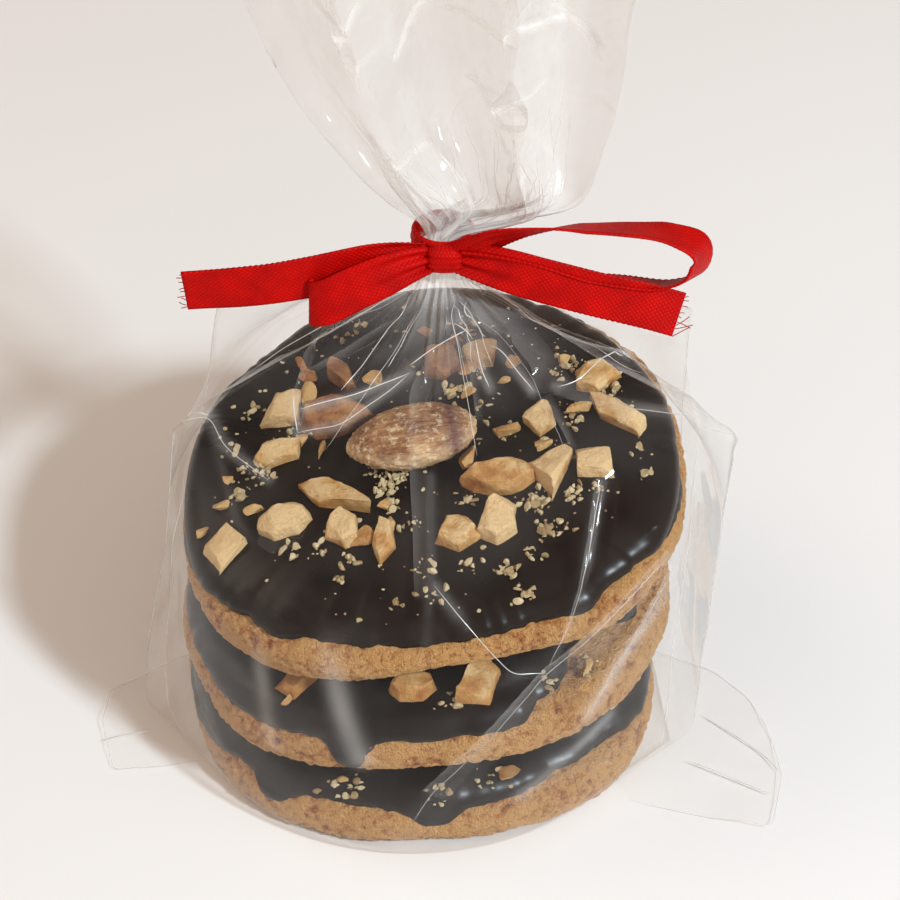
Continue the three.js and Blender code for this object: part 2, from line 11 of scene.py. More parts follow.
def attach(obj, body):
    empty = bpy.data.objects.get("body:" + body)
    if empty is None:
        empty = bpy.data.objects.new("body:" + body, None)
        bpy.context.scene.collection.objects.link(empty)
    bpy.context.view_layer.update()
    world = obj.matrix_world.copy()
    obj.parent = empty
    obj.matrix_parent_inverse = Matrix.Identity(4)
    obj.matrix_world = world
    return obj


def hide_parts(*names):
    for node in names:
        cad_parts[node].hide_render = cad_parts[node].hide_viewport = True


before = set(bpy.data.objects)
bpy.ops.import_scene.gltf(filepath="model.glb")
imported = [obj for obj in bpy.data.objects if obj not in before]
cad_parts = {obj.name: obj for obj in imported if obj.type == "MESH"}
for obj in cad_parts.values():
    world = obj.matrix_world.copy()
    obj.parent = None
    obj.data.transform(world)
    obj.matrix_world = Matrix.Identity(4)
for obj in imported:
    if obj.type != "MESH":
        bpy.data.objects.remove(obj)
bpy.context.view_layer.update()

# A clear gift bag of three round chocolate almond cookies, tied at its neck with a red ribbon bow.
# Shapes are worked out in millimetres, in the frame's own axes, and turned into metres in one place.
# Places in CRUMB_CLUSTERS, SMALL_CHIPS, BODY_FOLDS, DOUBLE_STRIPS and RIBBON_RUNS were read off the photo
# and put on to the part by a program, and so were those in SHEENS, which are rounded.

MM = 0.001
BODY = "root"
TUBE_SIDES = 5


# ---------------------------------------------------------------- noise

def hashed(cells, seed):
    """A repeatable number from 0 to 1 for each whole-number cell."""
    cells = cells.astype(np.int64)
    mixed = cells[..., 0] * 73856093 ^ cells[..., 1] * 19349663 ^ cells[..., 2] * 83492791
    mixed = (mixed ^ seed * 2654435761) & 0xFFFFFFFF
    mixed = (mixed ^ mixed >> 15) * 2246822519 & 0xFFFFFFFF
    mixed = (mixed ^ mixed >> 13) * 3266489917 & 0xFFFFFFFF
    return ((mixed ^ mixed >> 16) & 0xFFFF) / 65535


def soft_noise(points, size, seed):
    """Smooth noise from -1 to 1 whose lumps are about size millimetres wide."""
    scaled = points / size
    cell = np.floor(scaled)
    part = scaled - cell
    part = part * part * (3 - 2 * part)
    total = np.zeros(points.shape[:-1])
    for corner in itertools.product((0, 1), repeat=3):
        weight = np.prod(np.where(corner, part, 1 - part), axis=-1)
        total += weight * hashed(cell + corner, seed)
    return 2 * total - 1


def layered_noise(points, layers, seed):
    """Soft noise of several sizes laid over one another: height and size of each."""
    return sum(height * soft_noise(points, size, seed + index) for index, (height, size) in enumerate(layers))


def grains(points, size, seed):
    """Round granules about size millimetres wide: 1 on top of a grain, 0 in the gaps."""
    scaled = points / size
    cell = np.floor(scaled)
    nearest = np.full(points.shape[:-1], 9.0)
    for offset in itertools.product((-1, 0, 1), repeat=3):
        here = cell + offset
        centre = here + np.stack([hashed(here, seed + axis) for axis in range(3)], axis=-1)
        nearest = np.minimum(nearest, ((scaled - centre) ** 2).sum(axis=-1))
    return np.clip(1 - nearest, 0, 1)


# ---------------------------------------------------------------- meshes

def add_object(name, data):
    """Puts a mesh, a light or a camera into the scene."""
    made = bpy.data.objects.new(name, data)
    bpy.context.scene.collection.objects.link(made)
    return made


def add_layer(mesh, name, values):
    layer = mesh.attributes.new(name, "FLOAT", "POINT")
    layer.data.foreach_set("value", np.asarray(values, dtype=float))


def add_uv(mesh, uv):
    """Gives each corner of a mesh the UV of its point."""
    corner_points = np.empty(len(mesh.loops), dtype=int)
    mesh.loops.foreach_get("vertex_index", corner_points)
    mesh.uv_layers.new(name="UVMap").data.foreach_set("uv", np.asarray(uv)[corner_points].ravel())


def make_object(name, points, faces, material, smooth=True, layers=None, uv=None):
    """Makes a mesh object from points in millimetres, with float layers and a UV for each point."""
    mesh = bpy.data.meshes.new(name)
    mesh.from_pydata((np.asarray(points) * MM).tolist(), [], [list(face) for face in faces])
    mesh.polygons.foreach_set("use_smooth", [smooth] * len(mesh.polygons))
    for layer, values in (layers or {}).items():
        add_layer(mesh, layer, values)
    if uv is not None:
        add_uv(mesh, uv)
    mesh.materials.append(material)
    return add_object(name, mesh)


def dress(piece, slot, *nodes):
    """Fixes a piece to the part and hides the nodes that it stands for; slot, its finish, is not used."""
    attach(piece, BODY)
    if nodes:
        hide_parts(*nodes)
    return piece


def unit(vectors):
    return vectors / np.maximum(np.linalg.norm(vectors, axis=-1, keepdims=True), 1e-9)


def rising(values, start, length):
    """From 0 at start up to 1 at length past it."""
    return np.clip((values - start) / length, 0, 1)


def turn_from(angle, direction):
    """How far angles are from a direction, between half a turn back and half a turn on."""
    return np.angle(np.exp(1j * (angle - direction)))


def grid_faces(rows, columns, around):
    """Quads between the points of a grid; around closes each row on itself."""
    row = np.arange(rows - 1)[:, None]
    column = np.arange(columns if around else columns - 1)[None, :]
    after = (column + 1) % columns
    corners = [row * columns + column, row * columns + after]
    corners += [(row + 1) * columns + after, (row + 1) * columns + column]
    return np.stack(np.broadcast_arrays(*corners), axis=-1).reshape(-1, 4)


def grid_normals(grid, around):
    """Unit normals of a grid of points, from its two directions."""
    if around:
        along = np.roll(grid, -1, axis=1) - np.roll(grid, 1, axis=1)
    else:
        along = np.gradient(grid, axis=1)
    up = np.gradient(grid, axis=0)
    return unit(np.cross(along, up))


def tube(line, radius, aside):
    """Rings of points round a line; aside is a direction that the line never takes."""
    turn = np.linspace(0, 2 * math.pi, TUBE_SIDES, endpoint=False)
    tangent = unit(np.gradient(line, axis=0))
    side = unit(np.cross(tangent, np.array(aside)))
    other = np.cross(tangent, side)
    ring = side[:, None] * np.cos(turn)[None, :, None] + other[:, None] * np.sin(turn)[None, :, None]
    return line[:, None] + np.reshape(radius, (-1, 1, 1)) * ring


class Batch:
    """Small bodies gathered into one mesh, with a value or a UV for each point."""

    def __init__(self):
        self.points, self.faces, self.values = [], [], []
        self.count = 0

    def add(self, points, faces, values):
        self.points.append(points.reshape(-1, 3))
        self.faces.append(np.asarray(faces) + self.count)
        self.values.append(values)
        self.count += len(self.points[-1])

    def joined(self):
        return [np.concatenate(part) for part in (self.points, self.faces, self.values)]


def read_vectors(vertices, attribute):
    values = np.empty(len(vertices) * 3)
    vertices.foreach_get(attribute, values)
    return values.reshape(-1, 3)


def node_points(name):
    return read_vectors(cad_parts[name].data.vertices, "co") / MM


# ---------------------------------------------------------------- materials

BLACK, WHITE = (0, 0, 0), (1, 1, 1)
MIX_SOCKETS = (0, 6, 7)  # the Mix node's factor and its two colours
MIX_RESULT = 2


def grey(level):
    return (level, level, level)


class Nodes:
    """A node tree, built by naming each node's settings and inputs."""

    def __init__(self, tree):
        self.tree = tree

    def put(self, value, socket):
        """Links a socket to an input, or gives the input a plain value."""
        if isinstance(value, bpy.types.NodeSocket):
            self.tree.links.new(value, socket)
        else:
            socket.default_value = value

    def add(self, kind, inputs=None, **settings):
        node = self.tree.nodes.new("ShaderNode" + kind)
        for setting, value in settings.items():
            setattr(node, setting, value)
        for key, value in (inputs or {}).items():
            self.put(value, node.inputs[key])
        return node

    def noise(self, vector, scale, detail=3.0, roughness=0.55):
        inputs = {"Vector": vector, "Scale": scale, "Detail": detail, "Roughness": roughness}
        return self.add("TexNoise", inputs).outputs["Fac"]

    def ramp(self, factor, stops):
        node = self.add("ValToRGB", {"Fac": factor})
        elements = node.color_ramp.elements
        while len(elements) < len(stops):
            elements.new(0.5)
        for element, (position, color) in zip(elements, stops):
            element.position = position
            element.color = (*color, 1)
        return node.outputs["Color"]

    def mix(self, factor, first, second, blend="MIX"):
        node = self.add("Mix", data_type="RGBA", blend_type=blend)
        for index, value in zip(MIX_SOCKETS, (factor, first, second)):
            self.put((*value, 1) if isinstance(value, tuple) else value, node.inputs[index])
        return node.outputs[MIX_RESULT]

    def math(self, operation, first, second=0.0, clamp=False):
        node = self.add("Math", {0: first, 1: second}, operation=operation, use_clamp=clamp)
        return node.outputs[0]

    def scaled(self, value, scale, offset):
        return self.add("Math", {0: value, 1: scale, 2: offset}, operation="MULTIPLY_ADD").outputs[0]

    def layer(self, name):
        return self.add("Attribute", attribute_name=name).outputs["Fac"]

    def place(self):
        """Each point's place on its object, in metres."""
        return self.add("TexCoord").outputs["Object"]

    def bump(self, height, distance, strength=1.0):
        inputs = {"Height": height, "Distance": distance, "Strength": strength}
        return self.add("Bump", inputs).outputs["Normal"]


class Shader(Nodes):
    """A node material with one surface."""

    def __init__(self, name):
        self.material = bpy.data.materials.new(name)
        self.material.use_nodes = True
        super().__init__(self.material.node_tree)
        self.tree.nodes.clear()
        self.output = self.tree.nodes.new("ShaderNodeOutputMaterial")

    def finish(self, surface):
        self.tree.links.new(surface, self.output.inputs["Surface"])
        return self.material

    def principled(self, color, roughness, normal=None, specular=None):
        """Finishes the material with a plain opaque surface."""
        surface = self.add("BsdfPrincipled", {"Base Color": color, "Roughness": roughness})
        if normal is not None:
            self.put(normal, surface.inputs["Normal"])
        if specular is not None:
            surface.inputs["Specular IOR Level"].default_value = specular
        return self.finish(surface.outputs[0])


def biscuit_material():
    """Baked crumb: brown in its gaps and golden on its grains, which is painted shade, with pale gold specks
    that are painted glints.
    """
    shader = Shader("biscuit")
    place = shader.place()
    patches = shader.noise(place, 170, 4)
    crumb = shader.noise(place, 950, 4, 0.75)
    sand = shader.noise(place, 2300, 2, 0.8)
    # Tone falls where the grain relief and the crumb noise are low, in the same dips as their bumps: painted
    # shade in the gaps and lighter grain tops.
    tone = shader.scaled(shader.layer("relief"), 0.55, -0.15)
    tone = shader.math("ADD", tone, shader.scaled(patches, 0.608, -0.114))
    tone = shader.math("ADD", tone, shader.math("MULTIPLY", crumb, 0.85))
    color = shader.ramp(tone, [
        (0.42, (0.085, 0.020, 0.003)),
        (0.55, (0.260, 0.076, 0.013)),
        (0.68, (0.520, 0.182, 0.036)),
        (0.87, (0.760, 0.400, 0.130)),
    ])
    # Pale gold specks on the sandy noise: painted glints.
    painted_glint = shader.ramp(sand, [(0.56, BLACK), (0.66, grey(0.6))])
    color = shader.mix(painted_glint, color, (0.88, 0.60, 0.30))
    return shader.principled(color, 0.7, shader.bump(shader.math("ADD", crumb, sand), 0.0016))


def chocolate_material():
    shader = Shader("chocolate")
    place = shader.place()
    cloud = shader.noise(place, 70, 3)
    color = shader.mix(cloud, (0.0036, 0.0019, 0.0015), (0.0105, 0.0058, 0.0046))
    waves = shader.bump(shader.noise(place, 110, 2), 0.0004, 0.3)
    return shader.principled(color, shader.scaled(cloud, 0.2, 0.2), waves, specular=0.22)


def nut_material(name, stops):
    """Roasted nut: pale inside, browner where the layer named relief is low; on the large pieces that layer
    also holds painted shade.
    """
    shader = Shader(name)
    place = shader.place()
    patches = shader.noise(place, 380, 4, 0.6)
    fine = shader.noise(place, 1700, 4, 0.7)
    tone = shader.math("ADD", shader.math("MULTIPLY", patches, 0.7), shader.layer("relief"))
    color = shader.ramp(tone, stops)
    color = shader.mix(shader.math("MULTIPLY", fine, 0.35), color, (0.40, 0.20, 0.07), "MULTIPLY")
    return shader.principled(color, 0.5, shader.bump(fine, 0.0005, 0.9))


def almond_material():
    """A whole almond's skin: brown veins along it, pale flecks and rim, and a dark purple-brown end."""
    shader = Shader("almond")
    skin = shader.add("UVMap", uv_map="UVMap").outputs["UV"]
    place = shader.place()
    stretched = shader.add("Mapping", {"Vector": skin, "Scale": (4.0, 26.0, 1.0)}).outputs[0]
    veins = shader.noise(stretched, 1.0, 4, 0.6)
    blotch = shader.noise(place, 230, 5, 0.65)
    flecks = shader.noise(place, 900, 3, 0.7)
    tone = shader.math("ADD", shader.math("MULTIPLY", veins, 0.42), shader.math("MULTIPLY", blotch, 0.62))
    # A little darker in the hollows of its wrinkles: painted shade.
    tone = shader.math("ADD", tone, shader.math("MULTIPLY", shader.layer("relief"), 0.2))
    color = shader.ramp(tone, [
        (0.44, (0.10, 0.034, 0.012)),
        (0.56, (0.23, 0.095, 0.033)),
        (0.67, (0.38, 0.195, 0.075)),
        (0.80, (0.62, 0.410, 0.200)),
    ])
    color = shader.mix(shader.ramp(flecks, [(0.53, BLACK), (0.68, grey(0.7))]), color, (0.80, 0.66, 0.44))
    split = shader.add("SeparateXYZ", {"Vector": skin})
    squares = [shader.math("POWER", shader.math("ABSOLUTE", split.outputs[axis]), 2) for axis in "XY"]
    rim_share = shader.ramp(shader.math("ADD", *squares), [(0.68, BLACK), (0.96, grey(0.45))])
    color = shader.mix(rim_share, color, (0.74, 0.57, 0.35))
    end_share = shader.ramp(split.outputs["X"], [(0.40, BLACK), (0.58, grey(0.9)), (0.86, BLACK)])
    spots = shader.ramp(blotch, [(0.34, BLACK), (0.46, WHITE)])
    color = shader.mix(shader.math("MULTIPLY", end_share, spots), color, (0.10, 0.028, 0.026))
    height = shader.math("ADD", shader.math("MULTIPLY", veins, 0.8), shader.math("MULTIPLY", flecks, 0.5))
    return shader.principled(color, 0.48, shader.bump(height, 0.0004, 0.8))


def film_material():
    """Thin clear film: see-through, glossy at a slant, with a milky haze that its haze layer adds to; that
    layer also lays on painted highlights and reflections.
    """
    shader = Shader("film")
    facing = shader.add("LayerWeight", {"Blend": 0.5}).outputs["Facing"]
    gloss_share = shader.scaled(shader.math("POWER", facing, 3.5), 0.50, 0.012)
    haze_and_sheen_share = shader.scaled(shader.math("POWER", facing, 2.0), 0.05, 0.001)
    haze_and_sheen_share = shader.math("ADD", haze_and_sheen_share, shader.layer("haze"), clamp=True)
    clear = shader.add("BsdfTransparent", {"Color": (0.992, 0.987, 0.981, 1)}).outputs[0]
    haze = shader.add("BsdfDiffuse", {"Color": (0.86, 0.84, 0.81, 1)}).outputs[0]
    gloss = shader.add("BsdfGlossy", {"Color": (1, 1, 1, 1), "Roughness": 0.05}).outputs[0]
    veiled = shader.add("MixShader", {0: haze_and_sheen_share, 1: clear, 2: haze}).outputs[0]
    return shader.finish(shader.add("MixShader", {0: gloss_share, 1: veiled, 2: gloss}).outputs[0])


def crease_material():
    """The edge of a crease as a painted highlight, white and glossy: the layer named gleam says how much of
    it shows.
    """
    shader = Shader("crease")
    gleam = shader.layer("gleam")
    clear = shader.add("BsdfTransparent", {"Color": (0.95, 0.94, 0.93, 1)}).outputs[0]
    painted_highlight = shader.add("BsdfDiffuse", {"Color": (0.92, 0.91, 0.89, 1)}).outputs[0]
    gloss = shader.add("BsdfGlossy", {"Color": (1, 1, 1, 1), "Roughness": 0.3}).outputs[0]
    bright = shader.add("MixShader", {0: 0.5, 1: painted_highlight, 2: gloss}).outputs[0]
    return shader.finish(shader.add("MixShader", {0: gleam, 1: clear, 2: bright}).outputs[0])


def ribbon_material():
    """Red satin: fine slanting lines both ways, in the ribbon's own UV in millimetres, with darker patches of
    painted shade.
    """
    shader = Shader("ribbon")
    along = shader.add("UVMap", uv_map="UVMap").outputs["UV"]
    lines = []
    for slant in (0.9, -0.9):
        turned_uv = shader.add("Mapping", {"Vector": along, "Rotation": (0, 0, slant)}).outputs[0]
        wave = shader.add("TexWave", {"Vector": turned_uv, "Scale": 0.62, "Distortion": 1.2, "Detail": 1.0})
        lines.append(wave.outputs["Fac"])
    weave = shader.math("MULTIPLY", *lines)
    # Darker patches at random over the satin: painted shade standing in for the shade of its folds.
    cloud = shader.ramp(shader.noise(along, 0.22, 2), [(0.36, BLACK), (0.66, WHITE)])
    color = shader.mix(weave, (0.42, 0.0008, 0.0002), (0.64, 0.0030, 0.0004))
    color = shader.mix(shader.math("MULTIPLY", cloud, 0.6), color, (0.27, 0.0004, 0.0002))
    return shader.principled(color, 0.5, shader.bump(weave, 0.00012, 0.5), specular=0.08)


def floor_material():
    shader = Shader("floor")
    cloud = shader.noise(shader.place(), 4, 2)
    return shader.principled(shader.mix(cloud, (0.80, 0.785, 0.765), (0.84, 0.83, 0.815)), 0.6)


BISCUIT = biscuit_material()
CHOCOLATE = chocolate_material()
NUT = nut_material("nut", [
    (0.30, (0.17, 0.050, 0.008)),
    (0.58, (0.42, 0.165, 0.036)),
    (0.84, (0.62, 0.355, 0.115)),
    (1.00, (0.78, 0.570, 0.290)),
])
SKINNED_NUT = nut_material("skinned_nut", [
    (0.34, (0.09, 0.028, 0.008)),
    (0.58, (0.24, 0.088, 0.024)),
    (0.82, (0.46, 0.225, 0.080)),
    (1.00, (0.66, 0.400, 0.160)),
])
SMALL_NUT = nut_material("small_nut", [
    (0.24, (0.22, 0.060, 0.010)),
    (0.55, (0.46, 0.200, 0.048)),
    (0.95, (0.68, 0.450, 0.180)),
])
CRUMB = nut_material("crumb", [
    (0.20, (0.24, 0.140, 0.055)),
    (0.60, (0.46, 0.345, 0.170)),
    (1.00, (0.68, 0.580, 0.350)),
])
ALMOND = almond_material()
FILM = film_material()
CREASE = crease_material()
RIBBON = ribbon_material()


# ---------------------------------------------------------------- cookies

COOKIE_RADIUS = 40
RIM_LINE_SHARE = 0.44  # height of the widest line, as a share of the biscuit's thickness
TOP_ROUNDING = 4.5
FOOT_ROUNDING = 1.9
ROUNDNESS = 0.85  # a true quarter circle would be 1
TOP_POINTS, ROUNDING_POINTS, UNDER_POINTS = 30, 50, 20  # of the biscuit's outline
TOP_LAYER = 0.6  # the biscuit's points this close to its highest are its top face

# Each cookie. As the CAD has them, the lobes of its outline (middle and half width in degrees, and how
# far it stands out) and its worn side (middle, half width, and how far the underside's edge is lifted
# and drawn in there). Then how far the chocolate's edge stays from the rim, and its drips and bare
# stretches: middle angle, half width and extra reach.
COOKIE_KINDS = {
    "bottom": {
        "lobes": [(190, 20, -0.9), (225, 24, 1.0), (276, 26, -1.2), (320, 26, 1.6), (0, 22, -0.9)],
        "worn": (276, 34, 0.8, 0.0),
        "inset": 3.0,
        "drips": [(-172, 20, 2.8), (-151, 9, 1.6), (-125, 5, 3.0), (-86, 6, 2.4), (-48, 14, -2.0),
                  (-14, 13, 1.2), (60, 60, 1.6)],
        "seed": 93,
    },
    "middle": {
        "lobes": [(228, 24, 1.8), (272, 26, -0.9), (325, 26, 1.0)],
        "worn": (270, 34, 1.0, 0.3),
        "inset": 2.6,
        "drips": [(-130, 14, 0.5), (-106, 4.5, 6.4), (-72, 9, 0.6), (-56, 9, -2.6), (-38, 11, -8.2),
                  (-14, 12, -3.0), (60, 50, 1.2)],
        "seed": 124,
    },
    "top": {
        "lobes": [(182, 22, -0.7), (222, 26, 1.6), (278, 26, -2.2), (330, 24, 0.9), (40, 24, 1.4)],
        "worn": (278, 34, 3.6, 1.8),
        "inset": 1.8,
        "drips": [(-160, 8, 0.9), (-138, 9, -1.3), (-116, 8, -1.4), (-88, 44, -3.0), (-52, 4, 0.9),
                  (-38, 8, -1.2), (-16, 9, 0.8), (40, 32, -2.0), (138, 16, -1.3)],
        "seed": 155,
    },
}


def nearness(angle, at, width):
    """How much an angle belongs to a lobe or a worn side: 1 in its middle, fading on both sides."""
    return np.exp(-(turn_from(angle, math.radians(at)) / math.radians(width)) ** 2)


def upright(points):
    """The direction in which a flat body is thinnest, pointing up."""
    thin = np.linalg.svd(points - points.mean(axis=0))[2][2]
    return thin * np.sign(thin[2])


class Cookie:
    """Where a cookie lies, read from its nodes: its middle, axes and thickness, with the radius that all
    cookies share.
    """

    def __init__(self, name):
        self.name = name
        self.kind = COOKIE_KINDS[name]
        chocolate = node_points(f"cookie_{name}_chocolate")
        biscuit = node_points(f"cookie_{name}_biscuit")
        height = (biscuit - biscuit.mean(axis=0)) @ upright(chocolate)
        top = biscuit[height > height.max() - TOP_LAYER]
        up = upright(top)
        right = np.array([1.0, 0, 0]) - up[0] * up
        right /= np.linalg.norm(right)
        self.axes = np.array([right, np.cross(up, right), up])
        away = np.linalg.norm(top - top.mean(axis=0), axis=1)
        self.radius = COOKIE_RADIUS
        self.thickness = np.ptp(biscuit @ up)
        self.origin = top[away.argmin()] - self.thickness * up
        self.profile = rim_profile(self.radius, self.thickness)

    def local(self, points):
        """Turns points in the frame into the cookie's own axes."""
        return (np.asarray(points) - self.origin) @ self.axes.T

    def place(self, local):
        """Turns points in the cookie's own axes into the frame's."""
        return self.origin + np.asarray(local) @ self.axes

    def reach(self, angle):
        """How far the cookie's outline stands out from its circle."""
        return sum(size * nearness(angle, at, width) for at, width, size in self.kind["lobes"])

    def shaped(self, grid, angle):
        """Gives a round piece's points the cookie's own outline and its worn side."""
        radius = np.maximum(np.hypot(grid[..., 0], grid[..., 1]), 1e-6)
        out = np.clip(radius / self.radius, 0, 1) ** 2
        reach = self.reach(angle)
        at, width, lift, undercut = self.kind["worn"]
        wear = np.clip(1 - grid[..., 2] / self.thickness, 0, 1) * nearness(angle, at, width) * out
        stretch = 1 + (reach * out - undercut * wear) / radius
        height = grid[..., 2] + lift * wear
        return np.stack([grid[..., 0] * stretch, grid[..., 1] * stretch, height], axis=-1)


def rim_profile(radius, thickness):
    """The biscuit's outline from its top's middle, over the rim, to its underside's middle:
    distance along it, distance out, height, and the outward normal."""
    line = RIM_LINE_SHARE * thickness
    turn = np.linspace(0, math.pi / 2, ROUNDING_POINTS)
    flat = np.linspace(0, radius - TOP_ROUNDING, TOP_POINTS, endpoint=False)
    under = np.linspace(radius - FOOT_ROUNDING, 0, UNDER_POINTS)[1:]
    out = np.concatenate([
        flat,
        radius - TOP_ROUNDING * (1 - np.sin(turn) ** ROUNDNESS),
        radius - FOOT_ROUNDING * (1 - np.cos(turn[1:]) ** ROUNDNESS),
        under,
    ])
    height = np.concatenate([
        np.full_like(flat, thickness),
        line + (thickness - line) * np.cos(turn) ** ROUNDNESS,
        line * (1 - np.sin(turn[1:]) ** ROUNDNESS),
        np.zeros_like(under),
    ])
    length = np.concatenate([[0], np.cumsum(np.hypot(np.diff(out), np.diff(height)))])
    step_out, step_up = np.gradient(out, length), np.gradient(height, length)
    return {"s": length, "r": out, "z": height, "nr": -step_up, "nz": step_out}


def on_profile(profile, s, offset):
    """Distance out and height of points at s along a profile, lifted off it by offset."""
    read = {key: np.interp(s, profile["s"], profile[key]) for key in ("r", "z", "nr", "nz")}
    size = np.hypot(read["nr"], read["nz"])
    return read["r"] + offset * read["nr"] / size, read["z"] + offset * read["nz"] / size


def revolved(r, z, angle):
    return np.stack([r * np.cos(angle), r * np.sin(angle), z], axis=-1)


def closed_faces(rows, columns):
    """Faces of a closed body of rings, with one point each for its first and its last end."""
    faces = grid_faces(rows, columns, around=True)[:, ::-1].tolist()
    first, last = rows * columns, (rows - 1) * columns
    for i in range(columns):
        after = (i + 1) % columns
        faces.append((i, after, first))
        faces.append((last + after, last + i, first + 1))
    return faces


BISCUIT_COLUMNS = 640
GRAIN_STEP = 0.38  # between the biscuit's rows of points, where its crumb shows
BISCUIT_GRAIN = 1.35
CRUMB_INSIDE = 6  # the crumb begins this far in from the rim on top, and ends a little less far below
CRUMB_BELOW = 5
GRAIN_HEIGHT, SWELL_HEIGHT = 1.05, 0.35
SWELLS = [(1, 9), (0.5, 4)]  # height and size
UNDERSIDE_GRAIN = 0.1  # highest grain under the biscuit
LOWEST = 0.12  # keeps the grain above the biscuit's own underside


def biscuit_piece(cookie, seed):
    """The biscuit, with a coarse sandy crumb over its rim."""
    length = cookie.profile["s"][-1]
    rim_start, rim_end = cookie.radius - CRUMB_INSIDE, length - cookie.radius + CRUMB_BELOW
    fine = np.arange(rim_start, rim_end, GRAIN_STEP)
    s = np.concatenate([np.linspace(1, rim_start, 6, endpoint=False), fine,
                        np.linspace(rim_end, length - 1, 10)])
    angle = np.linspace(0, 2 * math.pi, BISCUIT_COLUMNS, endpoint=False)
    s_grid, angle_grid = np.meshgrid(s, angle, indexing="ij")
    bare = revolved(*on_profile(cookie.profile, s_grid, 0), angle_grid)
    relief = 0.66 * grains(bare, BISCUIT_GRAIN, seed) + 0.34 * grains(bare, 0.5 * BISCUIT_GRAIN, seed + 9)
    swell = layered_noise(bare, SWELLS, seed + 5)
    on_side = rising(s_grid, rim_start, 3) * np.clip((length - s_grid) / cookie.radius, 0.25, 1)
    offset = on_side * (GRAIN_HEIGHT * (relief - 0.5) + SWELL_HEIGHT * swell)
    underneath = s_grid > length - cookie.radius + 1
    offset = np.where(underneath, np.minimum(offset, UNDERSIDE_GRAIN), offset)
    r, z = on_profile(cookie.profile, s_grid, offset)
    grid = cookie.shaped(revolved(r, np.maximum(z, LOWEST), angle_grid), angle_grid)
    points = np.concatenate([grid.reshape(-1, 3), [[0, 0, cookie.thickness], [0, 0, LOWEST]]])
    layers = {"relief": np.concatenate([relief.ravel(), [0.5, 0.5]])}
    faces = closed_faces(len(s), BISCUIT_COLUMNS)
    piece = make_object(f"biscuit_{cookie.name}", cookie.place(points), faces, BISCUIT, True, layers)
    dress(piece, "biscuit", f"cookie_{cookie.name}_biscuit")


CHOCOLATE_THICKNESS = 5.2
COAT_THICKNESS = 1.0
DOME_INSET = 0.6  # the dome ends at least this far inside the cookie's radius
CHOCOLATE_SUNK = 0.6  # its lower skin lies this far inside the biscuit
INSET_FROM = 1.6  # past the radius, along the outline: where chocolate without an inset would end
EDGE_WAVES = [(0.45, 9), (0.35, 3.2), (0.25, 1.3)]  # reach and length of the edge's unevenness
CHOCOLATE_GRIDS = {"bottom": (52, 360), "middle": (52, 360), "top": (64, 480)}  # rows and columns


def chocolate_edge(cookie, angle):
    """Distance along the biscuit's outline to the chocolate's edge, at each angle."""
    edge = np.full_like(angle, cookie.radius + INSET_FROM - cookie.kind["inset"])
    ring = revolved(cookie.radius, np.zeros_like(angle), angle)
    for seed, (reach, length) in enumerate(EDGE_WAVES, start=cookie.kind["seed"]):
        edge += reach * soft_noise(ring, length, seed)
    for middle, half_width, extra in cookie.kind["drips"]:
        away = turn_from(angle, math.radians(middle)) / math.radians(half_width)
        edge += extra * np.exp(-np.abs(away) ** 3)
    return edge


def chocolate_height(cookie, s, edge):
    """Thickness of the chocolate: a dome with a round shoulder, and a thin coat on its drips."""
    dome_end = np.minimum(edge, cookie.radius - DOME_INSET)
    dome = CHOCOLATE_THICKNESS * np.sqrt(np.clip(1 - (s / dome_end) ** 4, 0, 1))
    coat = COAT_THICKNESS * np.sqrt(np.clip(1 - (s / edge) ** 14, 0, 1))
    return np.maximum(dome, coat)


def chocolate_piece(cookie):
    """The chocolate: a skin over the biscuit that turns in under its own edge."""
    rows, columns = CHOCOLATE_GRIDS[cookie.name]
    angle = np.linspace(0, 2 * math.pi, columns, endpoint=False)
    edge = chocolate_edge(cookie, angle)
    share = np.sin(np.linspace(0.02, math.pi / 2, rows))
    s = share[:, None] * edge[None, :]
    lift = chocolate_height(cookie, s, edge[None, :])
    angle_grid = np.broadcast_to(angle, s.shape)
    flat = revolved(s, np.zeros_like(s), angle_grid)
    lift = lift + 0.22 * soft_noise(flat, 14, cookie.kind["seed"] + 3) * np.clip(lift, 0, 1)
    rings = [revolved(*on_profile(cookie.profile, s, lift), angle_grid)]
    for share_below in (1.0, 0.9):
        r, z = on_profile(cookie.profile, edge * share_below, -CHOCOLATE_SUNK)
        rings.append(revolved(r, z, angle)[None])
    grid = cookie.shaped(np.concatenate(rings), angle)
    ends = [[0, 0, grid[0, :, 2].mean()], [0, 0, cookie.thickness - CHOCOLATE_SUNK]]
    points = cookie.place(np.concatenate([grid.reshape(-1, 3), ends]))
    faces = closed_faces(len(grid), columns)
    piece = make_object(f"chocolate_{cookie.name}", points, faces, CHOCOLATE)
    dress(piece, "chocolate", f"cookie_{cookie.name}_chocolate")


COOKIES = {name: Cookie(name) for name in COOKIE_KINDS}
for cookie in COOKIES.values():
    biscuit_piece(cookie, cookie.kind["seed"] // 2)
    chocolate_piece(cookie)


# ---------------------------------------------------------------- nuts

def remeshed(node, cell):
    """A copy of a node's mesh with even faces about cell millimetres wide."""
    holder = add_object("scratch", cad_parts[node].data.copy())
    cells = holder.modifiers.new("cells", "REMESH")
    cells.mode = "VOXEL"
    cells.voxel_size = cell * MM
    rounding = holder.modifiers.new("rounding", "SMOOTH")
    rounding.factor = 0.5
    rounding.iterations = 2
    graph = bpy.context.evaluated_depsgraph_get()
    mesh = bpy.data.meshes.new_from_object(holder.evaluated_get(graph))
    bpy.data.objects.remove(holder)
    return mesh


